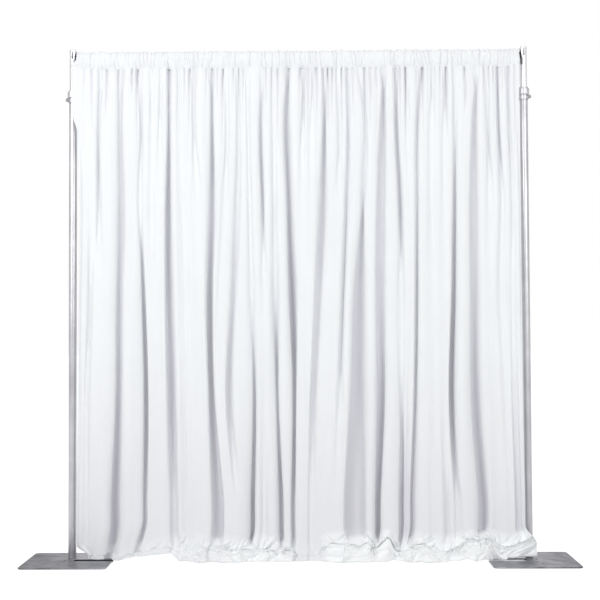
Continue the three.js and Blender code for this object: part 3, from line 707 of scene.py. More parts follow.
@dataclass
class Collar:
    """The cast collar at the lower tube's top, and the sprung plunger that locks the inner tube.

    The plunger's profiles are radius and distance from the mast's axis along the plunger, in millimetres.
    """

    side: Side
    finishes: Finishes
    bore: float = 19.35 * MM
    lip_bore: float = 17.7 * MM
    lip_height: float = 3 * MM
    neck_radius: float = 21.6 * MM
    neck_height: float = 8 * MM
    ring_radius: float = 26.5 * MM
    ring_height: float = 29 * MM
    groove_radius: float = 21.4 * MM
    groove_height: float = 2.4 * MM
    sleeve_radius: float = 22.6 * MM
    plunger_height: float = 2.19935
    spring_seat: float = 31.85 * MM
    spring_turns: int = 5
    spring_radius: float = 4.25 * MM
    wire_radius: float = 0.45 * MM
    spring_span: Pair = (22.1 * MM, 9.3 * MM)

    def __post_init__(self) -> None:
        """Reads the collar's place from the frame."""
        low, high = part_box(f"collar_{self.side.word}")
        mast_low, mast_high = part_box(f"upper_tube_{self.side.word}")
        self.axis = ((mast_low.x + mast_high.x) / 2, (mast_low.y + mast_high.y) / 2)
        self.foot, self.top = low.z, high.z
        self.plunger_foot = (*self.axis, self.plunger_height)
        self.outward = (self.side.value / math.sqrt(2), -1 / math.sqrt(2), 0.0)

    def body(self) -> Piece:
        """Turns the collar: neck, ring, groove, sleeve and the lip over the lower tube's end.

        Returns:
            The closed piece.
        """
        neck_foot = self.top - self.neck_height
        ring_foot = neck_foot - self.ring_height
        sleeve_top = ring_foot - self.groove_height
        lip_foot = self.top - self.lip_height
        loop = eased([
            (self.sleeve_radius, self.foot), (self.sleeve_radius, sleeve_top),
            (self.groove_radius, sleeve_top), (self.groove_radius, ring_foot),
            (self.ring_radius, ring_foot), (self.ring_radius, neck_foot),
            (self.neck_radius, neck_foot), (self.neck_radius, self.top), (self.lip_bore, self.top),
            (self.lip_bore, lip_foot), (self.bore, lip_foot), (self.bore, self.foot),
        ], 1.6 * MM, 4)
        return turned(f"collar_body_{self.side.word}", loop, (*self.axis, 0))

    def plunger(self, name: str, profile: list[Pair], ease: float = 0.4, segments: int = 48,
                ribs: tuple[int, float, float, float] | None = None) -> Piece:
        """Turns a piece of the plunger about its axis.

        Args:
            name: the piece's name, without its side.
            profile: its corners as (radius, distance), in millimetres.
            ease: how far its corners are eased, in millimetres.
            segments: steps round the axis.
            ribs: as in turned, in metres.

        Returns:
            The closed piece.
        """
        loop = eased(np.array(profile) * MM, ease * MM)
        return turned(f"{name}_{self.side.word}", loop, self.plunger_foot, self.outward, segments, ribs)

    def boss(self) -> Piece:
        """Turns the boss that carries the plunger's barrel."""
        return self.plunger("collar_boss", [(10, 20.4), (10, 24.8), (6.9, 24.8), (6.9, 20.4)], 0.8)

    def barrel(self) -> Piece:
        """Turns the plunger's threaded barrel with its flange."""
        return self.plunger("lock_barrel_fine", [
            (6.6, 19.35), (6.6, 25.1), (9, 25.1), (9, 28.1), (6.6, 28.1), (6.6, 33.75), (2.3, 33.75),
            (2.3, 32.15), (5, 32.15), (5, 19.35)])

    def pin(self) -> Piece:
        """Turns the plunger's pin: nose, shoulder and stem."""
        return self.plunger("lock_pin_fine", [
            (0, 17.3), (3.9, 17.3), (3.9, 19.35), (4.7, 19.35), (4.7, 21.35), (2, 21.35), (2, 35.75),
            (0, 35.75)])

    def knob(self) -> Piece:
        """Turns the cup knob, ribbed for grip between two heights of its outside."""
        outside = [(8.8, height) for height in np.linspace(29.3, 35.9, 6)]
        return self.plunger("lock_knob_fine", [
            (0, 36.05), (2.3, 36.05), (2.3, 34.05), (7, 34.05), (7, 28.5), (8.8, 28.5), *outside,
            (8.8, 37.25), (0, 37.25)], 0.8, 160, (20, 0.5 * MM, 29.0 * MM, 36.2 * MM))

    def spring(self) -> Piece:
        """Sweeps the coil spring.

        The wire's middle is (R cos a, R sin a, h) with a going round once per turn while h rises evenly, and
        the wire's section is a circle of outward and axial steps about it, which closes at both ends.

        Returns:
            The spring, a closed wire.
        """
        steps, sides = 200, 10
        start, length = self.spring_span
        t = np.linspace(0, 1, steps)[:, None]
        a = 2 * np.pi * self.spring_turns * t
        b = np.linspace(0, 2 * np.pi, sides, endpoint=False)[None, :]
        wire = self.wire_radius * np.sqrt(np.clip(1 - (np.abs(2 * t - 1) ** 60), 0, 1))
        reach = self.spring_radius + wire * np.cos(b)
        height = start + length * t + wire * np.sin(b)
        points = np.stack([reach * np.cos(a), reach * np.sin(a), height], axis=2)
        return tidy_shell(lay_mesh(f"lock_spring_fine_{self.side.word}",
                                   aimed(points, self.plunger_foot, self.outward),
                                   grid_faces(steps, sides, close_columns=True)))

    def build(self) -> None:
        """Builds and dresses the collar and its lock, and gives the spring a mesh of its own."""
        word, kit = self.side.word, self.finishes
        stand, lock = f"{word}_stand", f"{word}_lock"
        finish(self.body(), kit.cast, stand, "cast_aluminium", f"collar_{word}")
        finish(self.boss(), kit.cast, stand, "cast_aluminium")
        finish(self.barrel(), kit.bright, stand, "bright_steel", f"lock_barrel_{word}")
        finish(self.pin(), kit.bright, lock, "bright_steel", f"lock_pin_{word}")
        finish(self.knob(), kit.grip, lock, "black_nylon", f"lock_knob_{word}")
        spring = finish(self.spring(), kit.spring, stand, "spring_steel", f"lock_spring_{word}")
        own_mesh(spring)


@dataclass
class Crossbar:
    """The telescoping crossbar, its plugs, hooks, rivets and guide."""

    finishes: Finishes
    outer_radius: float = 19.05 * MM
    inner_radius: float = 17.0 * MM
    wall: float = 1.65 * MM
    shank_radius: float = 3 * MM
    head_radius: float = 5 * MM
    head_height: float = 1.9 * MM

    def tube(self, node: str, radius: float) -> Piece:
        """Turns one tube of the bar along X.

        Args:
            node: the CAD node whose place it takes.
            radius: its outer radius.

        Returns:
            The closed piece.
        """
        low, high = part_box(node)
        foot = (0, (low.y + high.y) / 2, (low.z + high.z) / 2)
        return turned(f"{node}_fine", tube_loop(radius, self.wall, low.x, high.x), foot, (1, 0, 0), 72)

    def rivet(self, node: str) -> Piece:
        """Turns a rivet along Y: a shank between two domed heads.

        Args:
            node: the CAD node whose place it takes.

        Returns:
            The closed piece.
        """
        low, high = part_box(node)
        middle, half = (low + high) / 2, (high.y - low.y) / 2
        seat = half - self.head_height
        dome = [(self.head_radius * math.cos(a), seat + self.head_height * math.sin(a))
                for a in np.linspace(0, np.pi / 2, 7)]
        shank = [(self.shank_radius, -seat), (self.shank_radius, seat)]
        loop = np.array([*[(radius, -height) for radius, height in dome[::-1]], *shank, *dome])
        return turned(f"{node}_fine", loop, tuple(middle), (0, 1, 0), 32)

    def build(self) -> None:
        """Builds and dresses the bar."""
        kit = self.finishes
        for node, radius, body in (("crossbar_outer", self.outer_radius, "crossbar"),
                                   ("crossbar_inner", self.inner_radius, "crossbar_extension")):
            finish(self.tube(node, radius), kit.bar, body, "tube_aluminium", node)
        for side, body in ((Side.LEFT, "crossbar"), (Side.RIGHT, "crossbar_extension")):
            dress(f"hook_{side.word}", kit.hook)
            dress(f"hook_plug_{side.word}", kit.nylon)
            for number in (1, 2):
                rivet = f"hook_rivet_{side.word}_{number}"
                finish(self.rivet(rivet), kit.bright, body, "bright_steel", rivet)
        dress("crossbar_guide", kit.nylon)


# Drape


@dataclass(frozen=True)
class Valley:
    """A valley between two folds, read at six heights from the header down to the foot.

    places are thousandths of the drape's width, mouths the valley's opening in millimetres, and depths its
    depth in hundredths of the deepest. leans are how far, in millimetres, its bottom lies left of its mouth
    in the upper and the lower half, so that one fold bulges over it.
    """

    places: tuple[float, ...]
    mouths: tuple[int, ...]
    depths: tuple[int, ...]
    leans: tuple[int, int] = (0, 0)


# The valleys from the drape's left edge to its right, and the numbers of those where panels end.
VALLEYS: tuple[Valley, ...] = (
    Valley((4, 6, 13, 11, 9, 6), (6, 6, 6, 6, 6, 6), (10, 10, 30, 30, 30, 30)),
    Valley((27, 30, 40, 39, 31, 28), (6, 8, 14, 20, 20, 14), (15, 10, 6, 30, 22, 10)),
    Valley((59, 55, 56, 53, 51, 50), (8, 10, 12, 8, 8, 8), (40, 50, 35, 3, 0, 0)),
    Valley((104, 102, 105, 102, 102, 94), (8, 16, 30, 30, 30, 40), (30, 50, 60, 75, 85, 100), (-4, 10)),
    Valley((145, 150, 150, 155, 160, 158), (7, 11, 6, 18, 24, 22), (30, 70, 75, 90, 90, 60), (4, -10)),
    Valley((174, 174, 173, 175, 178, 176), (6, 6, 6, 6, 6, 6), (60, 25, 10, 0, 0, 0)),
    Valley((194, 192, 191, 192, 194, 196), (7, 8, 8, 6, 6, 6), (50, 30, 0, 0, 0, 0)),
    Valley((213, 213, 211, 213, 218, 223), (9, 12, 25, 34, 36, 30), (45, 60, 80, 80, 75, 35), (5, 4)),
    Valley((235, 235, 240, 244, 249, 251), (10, 14, 10, 8, 8, 8), (30, 25, 14, 10, 10, 10)),
    Valley((267, 267, 278, 281, 283, 286), (9, 9, 12, 8, 8, 8), (55, 45, 8, 0, 0, 0)),
    Valley((307, 307, 307, 302, 308, 322), (9, 14, 26, 28, 26, 56), (70, 90, 70, 90, 80, 80), (-6, 8)),
    Valley((339, 343, 336, 326, 325, 344), (6, 7, 6, 6, 6, 6), (25, 35, 15, 12, 0, 0)),
    Valley((364, 368, 365, 356, 346, 364), (7, 9, 24, 20, 26, 8), (30, 30, 35, 45, 50, 0), (6, 6)),
    Valley((386, 388, 392, 396, 400, 395), (6, 7, 6, 6, 14, 20), (50, 40, 25, 35, 100, 100), (-3, -7)),
    Valley((422, 417, 421, 423, 422, 421), (7, 12, 14, 6, 6, 8), (45, 65, 50, 10, 5, 20)),
    Valley((447, 447, 446, 447, 450, 457), (7, 8, 10, 26, 12, 22), (30, 25, 30, 35, 85, 75), (-7, -12)),
    Valley((478, 476, 482, 487, 488, 485), (10, 24, 26, 34, 16, 18), (50, 70, 75, 100, 100, 50), (12, -8)),
    Valley((514, 512, 508, 510, 507, 499), (12, 10, 8, 6, 6, 6), (75, 40, 6, 0, 0, 0)),
    Valley((537, 532, 526, 523, 515, 508), (8, 8, 8, 6, 6, 6), (50, 25, 3, 0, 0, 0)),
    Valley((562, 559, 553, 543, 530, 523), (7, 14, 30, 30, 26, 20), (50, 70, 65, 50, 40, 12), (-6, -6)),
    Valley((591, 593, 589, 579, 568, 558), (6, 8, 6, 6, 6, 6), (35, 45, 5, 0, 0, 0)),
    Valley((611, 613, 607, 599, 589, 578), (6, 10, 10, 10, 8, 6), (55, 80, 100, 80, 20, 0), (4, 8)),
    Valley((640, 649, 642, 634, 629, 621), (7, 9, 12, 48, 66, 100), (40, 60, 60, 90, 100, 100), (-8, 6)),
    Valley((694, 691, 685, 681, 679, 670), (9, 24, 38, 40, 36, 26), (80, 75, 65, 70, 90, 90), (8, -10)),
    Valley((721, 720, 727, 729, 728, 727), (12, 16, 18, 12, 12, 28), (80, 65, 60, 20, 35, 90), (4, 6)),
    Valley((744, 744, 745, 745, 742, 737), (7, 7, 6, 6, 6, 12), (50, 20, 0, 0, 20, 90)),
    Valley((777, 767, 763, 761, 756, 747), (10, 11, 10, 12, 14, 20), (35, 80, 100, 100, 100, 95), (-3, -6)),
    Valley((802, 799, 796, 797, 798, 800), (8, 8, 8, 6, 8, 16), (50, 25, 15, 2, 5, 15)),
    Valley((830, 827, 825, 823, 819, 824), (7, 9, 9, 6, 6, 10), (50, 30, 10, 0, 0, 25)),
    Valley((851, 850, 848, 845, 838, 846), (7, 8, 16, 22, 26, 16), (40, 40, 90, 100, 95, 25), (6, 5)),
    Valley((901, 895, 890, 890, 891, 905), (7, 20, 36, 36, 40, 42), (45, 65, 65, 70, 90, 100), (5, 8)),
    Valley((923, 922, 926, 922, 928, 939), (8, 9, 12, 8, 8, 8), (55, 50, 15, 0, 0, 0)),
    Valley((946, 946, 952, 947, 957, 964), (9, 12, 16, 30, 20, 14), (70, 60, 25, 15, 12, 5)),
    Valley((968, 970, 977, 975, 976, 979), (8, 10, 12, 16, 30, 34), (60, 50, 30, 20, 35, 40)),
    Valley((994.5, 992, 993, 993, 993, 995), (6, 6, 6, 6, 6, 6), (10, 20, 30, 30, 30, 30)),
)
SEAMS = (0, 8, 16, 26, 34)

# Along the foot: thousandths of the drape's width, the heap's height and how far it runs forward in
# millimetres, how strongly it is crumpled in hundredths, and how high the hem is lifted in millimetres.
FOOT = np.array([
    (0, 20, -5, 10, 0), (50, 15, 0, 10, 0), (95, 20, 5, 15, 0), (130, 20, 5, 15, 3),
    (175, 30, 10, 25, 24), (215, 40, 15, 30, 36), (233, 80, 40, 40, 4), (290, 70, 50, 45, 0),
    (335, 60, 45, 50, 0), (365, 65, 30, 80, 0), (430, 75, 30, 85, 0), (480, 60, 25, 70, 0),
    (500, 25, 15, 15, 0), (545, 25, 15, 15, 0), (560, 80, 35, 80, 0), (590, 130, 45, 100, 0),
    (618, 100, 35, 90, 0), (650, 130, 45, 100, 0), (675, 80, 35, 90, 0), (695, 160, 45, 100, 0),
    (714, 60, 10, 80, 4), (735, 70, 45, 90, 0), (800, 70, 50, 90, 0), (845, 70, 35, 90, 4),
    (862, 75, 20, 90, 12), (885, 90, 30, 100, 0), (950, 110, 30, 100, 0), (966, 115, 20, 100, 12),
    (1000, 120, 10, 100, 14),
]) / (1000, 1000, 1000, 100, 1000)


@dataclass
class Drape:
    """Four gathered panels on the crossbar by their rod pockets, each a sheet of woven cloth.

    Across a panel the phase runs from 0 in one valley, through pi on a ridge, to 2 pi in the next valley.
    The cloth's place across is half a blunt ellipse over the valley's mouth and half an ellipse over the
    ridge, and its depth is that of the valley at phase 0, a half at the wall and none on the ridge. A
    shallow valley spreads evenly over its fold, as a soft wave. billows gives the heaps' three sizes of puff:
    depth, how much finer than the largest across and down, a shift, and the noise's seed.
    """

    finishes: Finishes
    half_width: float = 1.07405
    bar_axis: Pair = (0.057, 2.41135)
    pocket_radius: float = 20.6 * MM
    stitch_drop: float = 54.0 * MM
    thickness: float = 0.7 * MM
    steps: int = 24
    stitch_depth: float = 10.0 * MM
    header_depth: float = 24.0 * MM
    hung_depth: float = 30.0 * MM
    tuck_depth: float = 6.0 * MM
    pleat_depth: float = 17.0 * MM
    drawn_depth: float = 3.5 * MM
    ruffle_depth: float = 7.5 * MM
    crumple_depth: float = 2.8 * MM
    wave_depths: Pair = (8.0 * MM, 4.5 * MM)
    gather_depths: Pair = (4.5 * MM, 2.4 * MM)
    grain_depth: float = 3.0 * MM
    pocket_gap: float = 0.4 * MM
    mast_limit: float = 0.024
    flare: float = 0.022
    floor_rest: float = 2.2 * MM
    plate_rise: float = 6.8 * MM
    plate_start: float = 0.840
    sweep_reach: float = 0.050
    crinkle_reach: float = 0.010
    left_pull: float = 0.065
    left_round: float = 0.064
    right_spill: float = 0.045
    billows: tuple[tuple[float, ...], ...] = (
        (0.034, 1, 1, 0, 31), (0.024, 2.3, 2.2, 3, 32), (0.014, 4.6, 4.4, 8, 34))
    front_at_header: float = 0.039
    front_below: float = 0.010
    foot_top: float = 0.20
    heights: tuple[float, ...] = (2.322, 2.113, 1.668, 1.27, 0.748, 0.278)
    flat_length: float = 2.59
    flat_width: float = 0.914

    def __post_init__(self) -> None:
        """Works out the stitch line's height."""
        self.stitch = self.bar_axis[1] - self.stitch_drop

    def rows(self) -> tuple[Array, Array]:
        """Sets out the rows of the hanging cloth, close together at the header, and of the foot.

        Returns:
            The hanging rows' heights, and the foot rows' shares of their way.
        """
        near = self.stitch - np.linspace(0, 0.05, 13)
        t = np.linspace(0, 1, 72)[1:]
        rest = near[-1] - (near[-1] - self.foot_top) * (0.75 * t + 0.25 * t**2)
        return np.concatenate([near, rest]), np.linspace(0, 1, 62)[1:]

    def across(self, panel: tuple[Valley, ...], heights: Array) -> tuple[Array, Array]:
        """The cloth's place across and its depth share, for every row and column of a panel.

        Args:
            panel: its valleys, with its two edges.
            heights: the rows' heights.

        Returns:
            Two arrays of shape (rows, columns).
        """
        knots = -np.array(self.heights)
        place, mouth, deep = (
            through(-heights, knots, np.array([getattr(valley, name) for valley in panel], float) / unit).T
            for name, unit in (("places", 1000), ("mouths", 1), ("depths", 100)))
        centre = (2 * place - 1) * self.half_width
        depth = np.minimum(np.clip(deep, 0, 1) ** 0.8, 0.14 + 0.034 * mouth)
        half = np.clip(mouth, 7, None) * MM / 2 + 4.0 * MM * (1 - depth)
        upper, lower = np.array([valley.leans for valley in panel]).T[:, None] * MM
        lean = upper + (lower - upper) * smooth((1.6 - heights) / 0.9)[:, None]
        folds = len(panel) - 1
        phase = np.append(np.tile(np.linspace(0, 2 * np.pi, self.steps, endpoint=False), folds), 2 * np.pi)
        fold = np.append(np.repeat(np.arange(folds), self.steps), folds - 1)
        low, high = centre[:, fold], centre[:, fold + 1]
        mouth_low, mouth_high = half[:, fold], half[:, fold + 1]
        deep_low, deep_high = depth[:, fold], depth[:, fold + 1]
        gap = high - low
        room = np.minimum(1, 0.72 * gap / (mouth_low + mouth_high))
        mouth_low, mouth_high = mouth_low * room, mouth_high * room
        wall_low, wall_high = low + mouth_low, high - mouth_high
        swing = np.sin(phase)[None, :]
        blunt = np.abs(swing) ** 0.7
        ridge = (wall_low + wall_high) / 2 - (wall_high - wall_low) / 2 * swing
        round_way = np.where(phase < np.pi / 2, low + mouth_low * blunt,
                             np.where(phase > 1.5 * np.pi, high - mouth_high * blunt, ridge))
        part = phase[None, :] / (2 * np.pi)
        even_way = low + gap * part
        firm_low, firm_high = smooth((deep_low - 0.10) / 0.5), smooth((deep_high - 0.10) / 0.5)
        firm = firm_low + (firm_high - firm_low) * smooth(part * 1.6 - 0.3)
        below = (self.stitch - heights)[:, None]
        way = even_way + (round_way - even_way) * firm * (0.25 + 0.75 * smooth(below / 0.12))
        turn = np.cos(phase)[None, :]
        steep = np.where(turn > 0, np.abs(turn) ** 0.42, -np.abs(turn) ** 0.85)
        share = (1 + turn + (steep - turn) * firm) / 2
        narrow = np.minimum(deep_low, deep_high) * (1 - smooth((wall_high - wall_low) / 0.045))
        share = narrow + (np.where(phase < np.pi, deep_low, deep_high) - narrow) * share
        slant = np.where(phase < np.pi, lean[:, fold], lean[:, fold + 1])
        slant = np.clip(slant, -0.3 * gap, 0.3 * gap) * smooth(below / 0.25)
        return way - slant * share, share

    def gathers(self, x: Array, z: Array) -> Array:
        """Small gathers, from -1 to 1: two soft noises across, long in height."""
        return 0.6 * lattice(x * 95, z * 5, 3) + 0.4 * lattice(x * 180, z * 9 + 7, 5)

    def tucks(self, x: Array, way: Array) -> Array:
        """Narrow tucks across the pocket, from 0 to 1, about every 16 mm and long round the bar."""
        wander = 0.9 * lattice(x * 23, way * 0.02 + 9, 23)
        return creases(x * 62 + wander + 0.3 * lattice(x * 60, way * 0.07, 25), 0.26, 24)

    def pleats(self, x: Array, z: Array) -> Array:
        """Narrow creases below the stitch line, about every 28 mm and fading downwards.

        Args:
            x: places across.
            z: heights.

        Returns:
            The creases, from 0 to 1.
        """
        below = self.stitch - z
        crease = creases(x * 36 + 0.9 * lattice(x * 9, z * 0.9 + 3, 7), 0.30, 8)
        return crease * np.exp(-below / 0.24) * (1 - np.exp(-below / 0.004))

    def hanging(self, x: Array, share: Array, z: Array) -> Array:
        """How far back the hanging cloth is.

        The front moves forward and the valleys deepen below the header, softly over half a metre. Long soft
        waves run over the front, and the gathers fade within 0.15 m of the stitch line, which is drawn in.

        Args:
            x: places across, shape (rows, columns).
            share: depth shares, same shape.
            z: heights, shape (rows, 1).

        Returns:
            Y, same shape as x.
        """
        below = self.stitch - z
        opened = 1 - np.exp(-below / 0.28)
        front = self.front_at_header + (self.front_below - self.front_at_header) * opened
        depth = self.stitch_depth + self.header_depth * (1 - np.exp(-below / 0.005))
        depth = depth + self.hung_depth * (1 - np.exp(-below / 0.8))
        long, short = self.wave_depths
        wave = long * lattice(x * 6.5, z * 0.8, 11) + short * lattice(x * 17, z * 1.2, 12)
        wave = wave * (1 + 0.8 * smooth((below - 0.4) / 1.2))
        fine = 1.6 * MM * lattice(x * 42, z * 3.0, 13)
        close, far = self.gather_depths
        gather = self.gathers(x, z) * (close * np.exp(-below / 0.03) + far * np.exp(-below / 0.16))
        line = np.exp(-(((below - 0.003) / 0.005) ** 2))
        drawn_in = self.drawn_depth * line * (0.6 + 0.4 * lattice(x * 130, 0, 6))
        pleat = self.pleat_depth * self.pleats(x, z)
        return front + depth * share + (wave + fine) * opened + gather + drawn_in + pleat

    def clear_of_mast(self, x: Array, y: Array) -> Array:
        """Draws the outer edges forward, so that the cloth clears the masts and their collars."""
        ahead = np.minimum(y, self.mast_limit + 0.08 * (y - self.mast_limit))
        return y + smooth((np.abs(x) - 0.985) / 0.06) * (ahead - y)

    def flared(self, x: Array, z: Array) -> Array:
        """Spreads the left edge over its mast's front, between the bar and the collar's foot."""
        band = smooth((2.392 - z) / 0.03) * smooth((z - 2.04) / 0.09)
        return x - self.flare * band * smooth((-0.98 - x) / 0.08)

    def pocket(self, x: Array, header: Array) -> Array:
        """The rod pocket above the stitch line, from the back hem over the bar and down its front.

        In a slice across the bar the cloth is a drop: from the stitch line it rises straight to the circle
        round the bar, follows it over the top and comes straight down again. It stands off along its
        normal by the gathers, and near the stitch line it takes the header's folds.

        Args:
            x: places across at the stitch line, shape (columns,).
            header: Y of the hanging cloth at the stitch line, same shape.

        Returns:
            Points, shape (rows, columns, 3).
        """
        axis_y, axis_z = self.bar_axis
        x = x[None, :]
        touch = math.acos(self.pocket_radius / self.stitch_drop) - math.pi / 2
        arc = np.linspace(touch, math.pi - touch, 20)
        ring = np.stack([np.cos(arc), np.sin(arc)], axis=1)
        circle = ring * self.pocket_radius
        foot = np.array([0.0, -self.stitch_drop])
        hem = foot - np.array([[0.0, 0.010], [0.0, 0.005]])
        back = foot + (circle[0] - foot) * np.linspace(0, 1, 8)[:-1, None]
        down = circle[-1] + (foot - circle[-1]) * np.linspace(0, 1, 15)[1:-1, None]
        path = np.concatenate([hem, back, circle, down])
        turn = len(hem) + len(back)
        normal = np.concatenate([np.tile(ring[0], (turn, 1)), ring, np.tile(ring[-1], (len(down), 1))])
        low = smooth((0.012 - path[:, 1]) / 0.058)[:, None]
        way = np.arange(len(path))[:, None]
        ruffle = 0.5 + 0.5 * self.gathers(x, way * 0.006)
        crumple = lattice(x * 120, way * 0.25, 21) + 0.6 * lattice(x * 230, way * 0.4, 22)
        stand = (1 - low) * (self.pocket_gap + self.ruffle_depth * ruffle**1.4)
        stand = stand + self.crumple_depth * crumple * (1 - 0.5 * low)
        stand = np.maximum(stand - self.tuck_depth * self.tucks(x, way), 0.3 * MM * (1 - low))
        belly = 2.0 * MM * np.sin(np.clip((0.004 - path[:, 1]) / 0.056, 0, 1) * np.pi)[:, None]
        behind = np.array([[0.010], [0.0055]] + [[0.0016]] * (len(path) - 2))
        ply = np.where(way >= turn, -belly, behind * low)
        y = axis_y + path[:, :1] + low * (header[None, :] - axis_y) + ply + stand * normal[:, :1]
        z = axis_z + path[:, 1:] + stand * normal[:, 1:] * (1 - low) + 0 * x
        bar = np.sqrt(np.clip((self.pocket_radius - self.pocket_gap) ** 2 - (z - axis_z) ** 2, 0, None))
        y = np.where(path[:, :1] > 0, np.maximum(y, axis_y + bar), np.minimum(y, axis_y - bar))
        return np.stack([np.where(way > turn + 10, self.flared(x, z), x), y, z], axis=2)

    def foot(self, x: Array, y: Array, front: Array, way: Array) -> Array:
        """The cloth's last stretch: down to its heap, over it and to the hem on the floor or the plate.

        For a share q of the way, the first part is a straight fall to the heap's height H and the rest a
        quarter turn s, where height is H * cos(s)^0.8 and the cloth runs forward by R * sin(s). Over a heap
        the valleys fill up to the front. The heap is crumpled outwards by billows, the absolute value of
        seeded noises whose places are themselves pushed about by two others, so that puffs meet in creases.
        A sweep slides the cloth to the sides as it comes down, most where the first panel is drawn left.

        Args:
            x: places across at the top of the foot, shape (columns,).
            y: places in depth there, same shape.
            front: places in depth of the folds' front there, same shape.
            way: shares of the way to the hem, shape (rows,).

        Returns:
            Points, shape (rows, columns, 3).
        """
        across = self.share_across(x)
        high, run, crumple, lift = (
            np.interp(across, FOOT[:, 0], column)[None, :] for column in FOOT[:, 1:].T)
        x, y, front, across, q = x[None, :], y[None, :], front[None, :], across[None, :], way[:, None]
        rest = self.floor_rest + self.plate_rise * smooth((np.abs(x) - self.plate_start) / 0.03)
        high = high * (0.8 + 0.35 * lattice(across * 22, 0, 36)) + 0.004
        fall_share = 0.45
        fall, s = np.clip(q / fall_share, 0, 1), np.clip((q - fall_share) / (1 - fall_share), 0, 1)
        z = np.where(q < fall_share, self.foot_top + (high + rest - self.foot_top) * fall,
                     rest + high * np.cos(s * np.pi / 2) ** 0.8)
        full = smooth((q - 0.31) / 0.16) * np.clip(crumple * 1.3, 0, 1)
        y = y + (front - y) * full - run * np.sin(s * np.pi / 2)
        bend_u = across * 44 + 0.9 * lattice(across * 34, q * 4.0, 37)
        bend_v = q * 5.4 + 0.8 * lattice(across * 36 + 5, q * 3.6, 38)
        billow = sum(depth * (np.abs(lattice(bend_u * finer_u + shift, bend_v * finer_v, seed)) ** 0.8 - 0.3)
                     for depth, finer_u, finer_v, shift, seed in self.billows)
        grain = lattice(across * 150, q * 15, 33)
        grow = smooth((q - 0.22) / 0.22) * crumple
        out = grow * (billow + self.grain_depth * grain)
        sweep = lattice(across * 13, 0, 39) * (0.5 + 0.5 * lattice(across * 31, q * 2, 40))
        slide = smooth((q - 0.05) / 0.6) * self.sweep_reach * sweep
        slide = slide + grow * self.crinkle_reach * lattice(across * 40 + 9, q * 4 + 5, 35)
        slide = slide - self.left_pull * np.exp(-(((across - 0.15) / 0.04) ** 2)) * smooth(q / 0.6)
        y = y - out * (1 - 0.45 * s)
        z = z + 0.55 * out * np.sin(s * np.pi) + lift * smooth(q / 0.9)
        rounded = self.left_round * np.clip(1 - across / 0.06, 0, 1) * smooth((0.074 - z) / 0.052)
        spilt = self.right_spill * smooth((across - 0.955) / 0.045) * smooth((0.16 - z) / 0.08)
        ends = smooth(across / 0.02) * smooth((1 - across) / 0.02)
        place = x + slide * ends + rounded + spilt
        return np.stack([place, self.clear_of_mast(place, y), np.maximum(z, rest)], axis=2)

    def share_across(self, x: Array) -> Array:
        """Places across as shares of the drape's width, from its left edge."""
        return (x / self.half_width + 1) / 2

    def panel(self, number: int) -> Piece:
        """Builds one panel: pocket, hanging cloth and foot on one grid, then the cloth's thickness.

        Args:
            number: 1 to 4, from the left.

        Returns:
            The panel, with its flat coordinates in metres. Its valley attribute is the depth of its valleys
            and tucks, painted as shade there, and heaped how far its cloth lies crumpled on the floor,
            painted as light there.
        """
        heights, way = self.rows()
        x, share = self.across(VALLEYS[SEAMS[number - 1]:SEAMS[number] + 1], heights)
        z = heights[:, None]
        y = self.clear_of_mast(x, self.hanging(x, share, z))
        front = self.clear_of_mast(x[-1], self.hanging(x[-1:], 0 * x[-1:], z[-1:])[0])
        top = self.pocket(x[0], y[0])
        hang = np.stack([self.flared(x, z), y, z + 0 * x], axis=2)
        points = np.concatenate([top, hang, self.foot(x[-1], y[-1], front, way)])
        length = np.cumsum(np.append(0, np.linalg.norm(np.diff(points, axis=0), axis=2).mean(axis=1)))
        width = np.cumsum(np.append(0, np.linalg.norm(np.diff(hang, axis=1), axis=2).mean(axis=0)))
        LOG.info("panel %d: %.2f m along its way, %.2f m across", number, length[-1], width[-1])
        flat = np.stack(np.meshgrid(width * self.flat_width / width[-1], length[-1] - length), axis=2)
        piece = lay_mesh(f"drape_{number}", points, grid_faces(*points.shape[:2])[:, ::-1], flat, 180)
        # The depth of the valleys, tucks and pleats, used only to paint shade into them.
        near = smooth((z - 2.1) / 0.22)
        firm = 0.8 + 0.2 * smooth((1.2 - z) / 1.0) + 1.1 * near
        hung = np.maximum(np.clip(share, 0, 1) ** (1 + 0.8 * near) * firm, 1.5 * self.pleats(x, z))
        tucked = 0.95 * self.tucks(x[:1], np.arange(len(top))[:, None])
        landed = smooth((way - 0.2) / 0.25)[:, None]
        valley_shade = np.concatenate([tucked, hung, share[-1:] * (1 - landed)])
        # heaped paints light on the heap and deepens its creases.
        heaped = np.zeros_like(valley_shade)
        heaped[-len(way):] = landed * np.interp(self.share_across(x[-1]), FOOT[:, 0], FOOT[:, 3])
        for name, values in (("valley_shade", valley_shade), ("heaped", heaped)):
            mark = piece.data.attributes.new(name, "FLOAT", "POINT")
            mark.data.foreach_set("value", values.astype(np.float32).ravel())
        cloth = piece.modifiers.new("cloth", "SOLIDIFY")
        cloth.thickness, cloth.offset = self.thickness, 0
        return piece

    def build(self) -> None:
        """Builds the four panels, spread between the bar's two tubes."""
        for number in range(1, 5):
            piece = self.panel(number)
            piece.data.materials.append(self.finishes.cloth)
            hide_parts(f"drape_panel_{number}")
            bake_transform(piece)
            LOG.info("%s: %d faces, spread over the bar", piece.name, len(piece.data.polygons))


# Studio


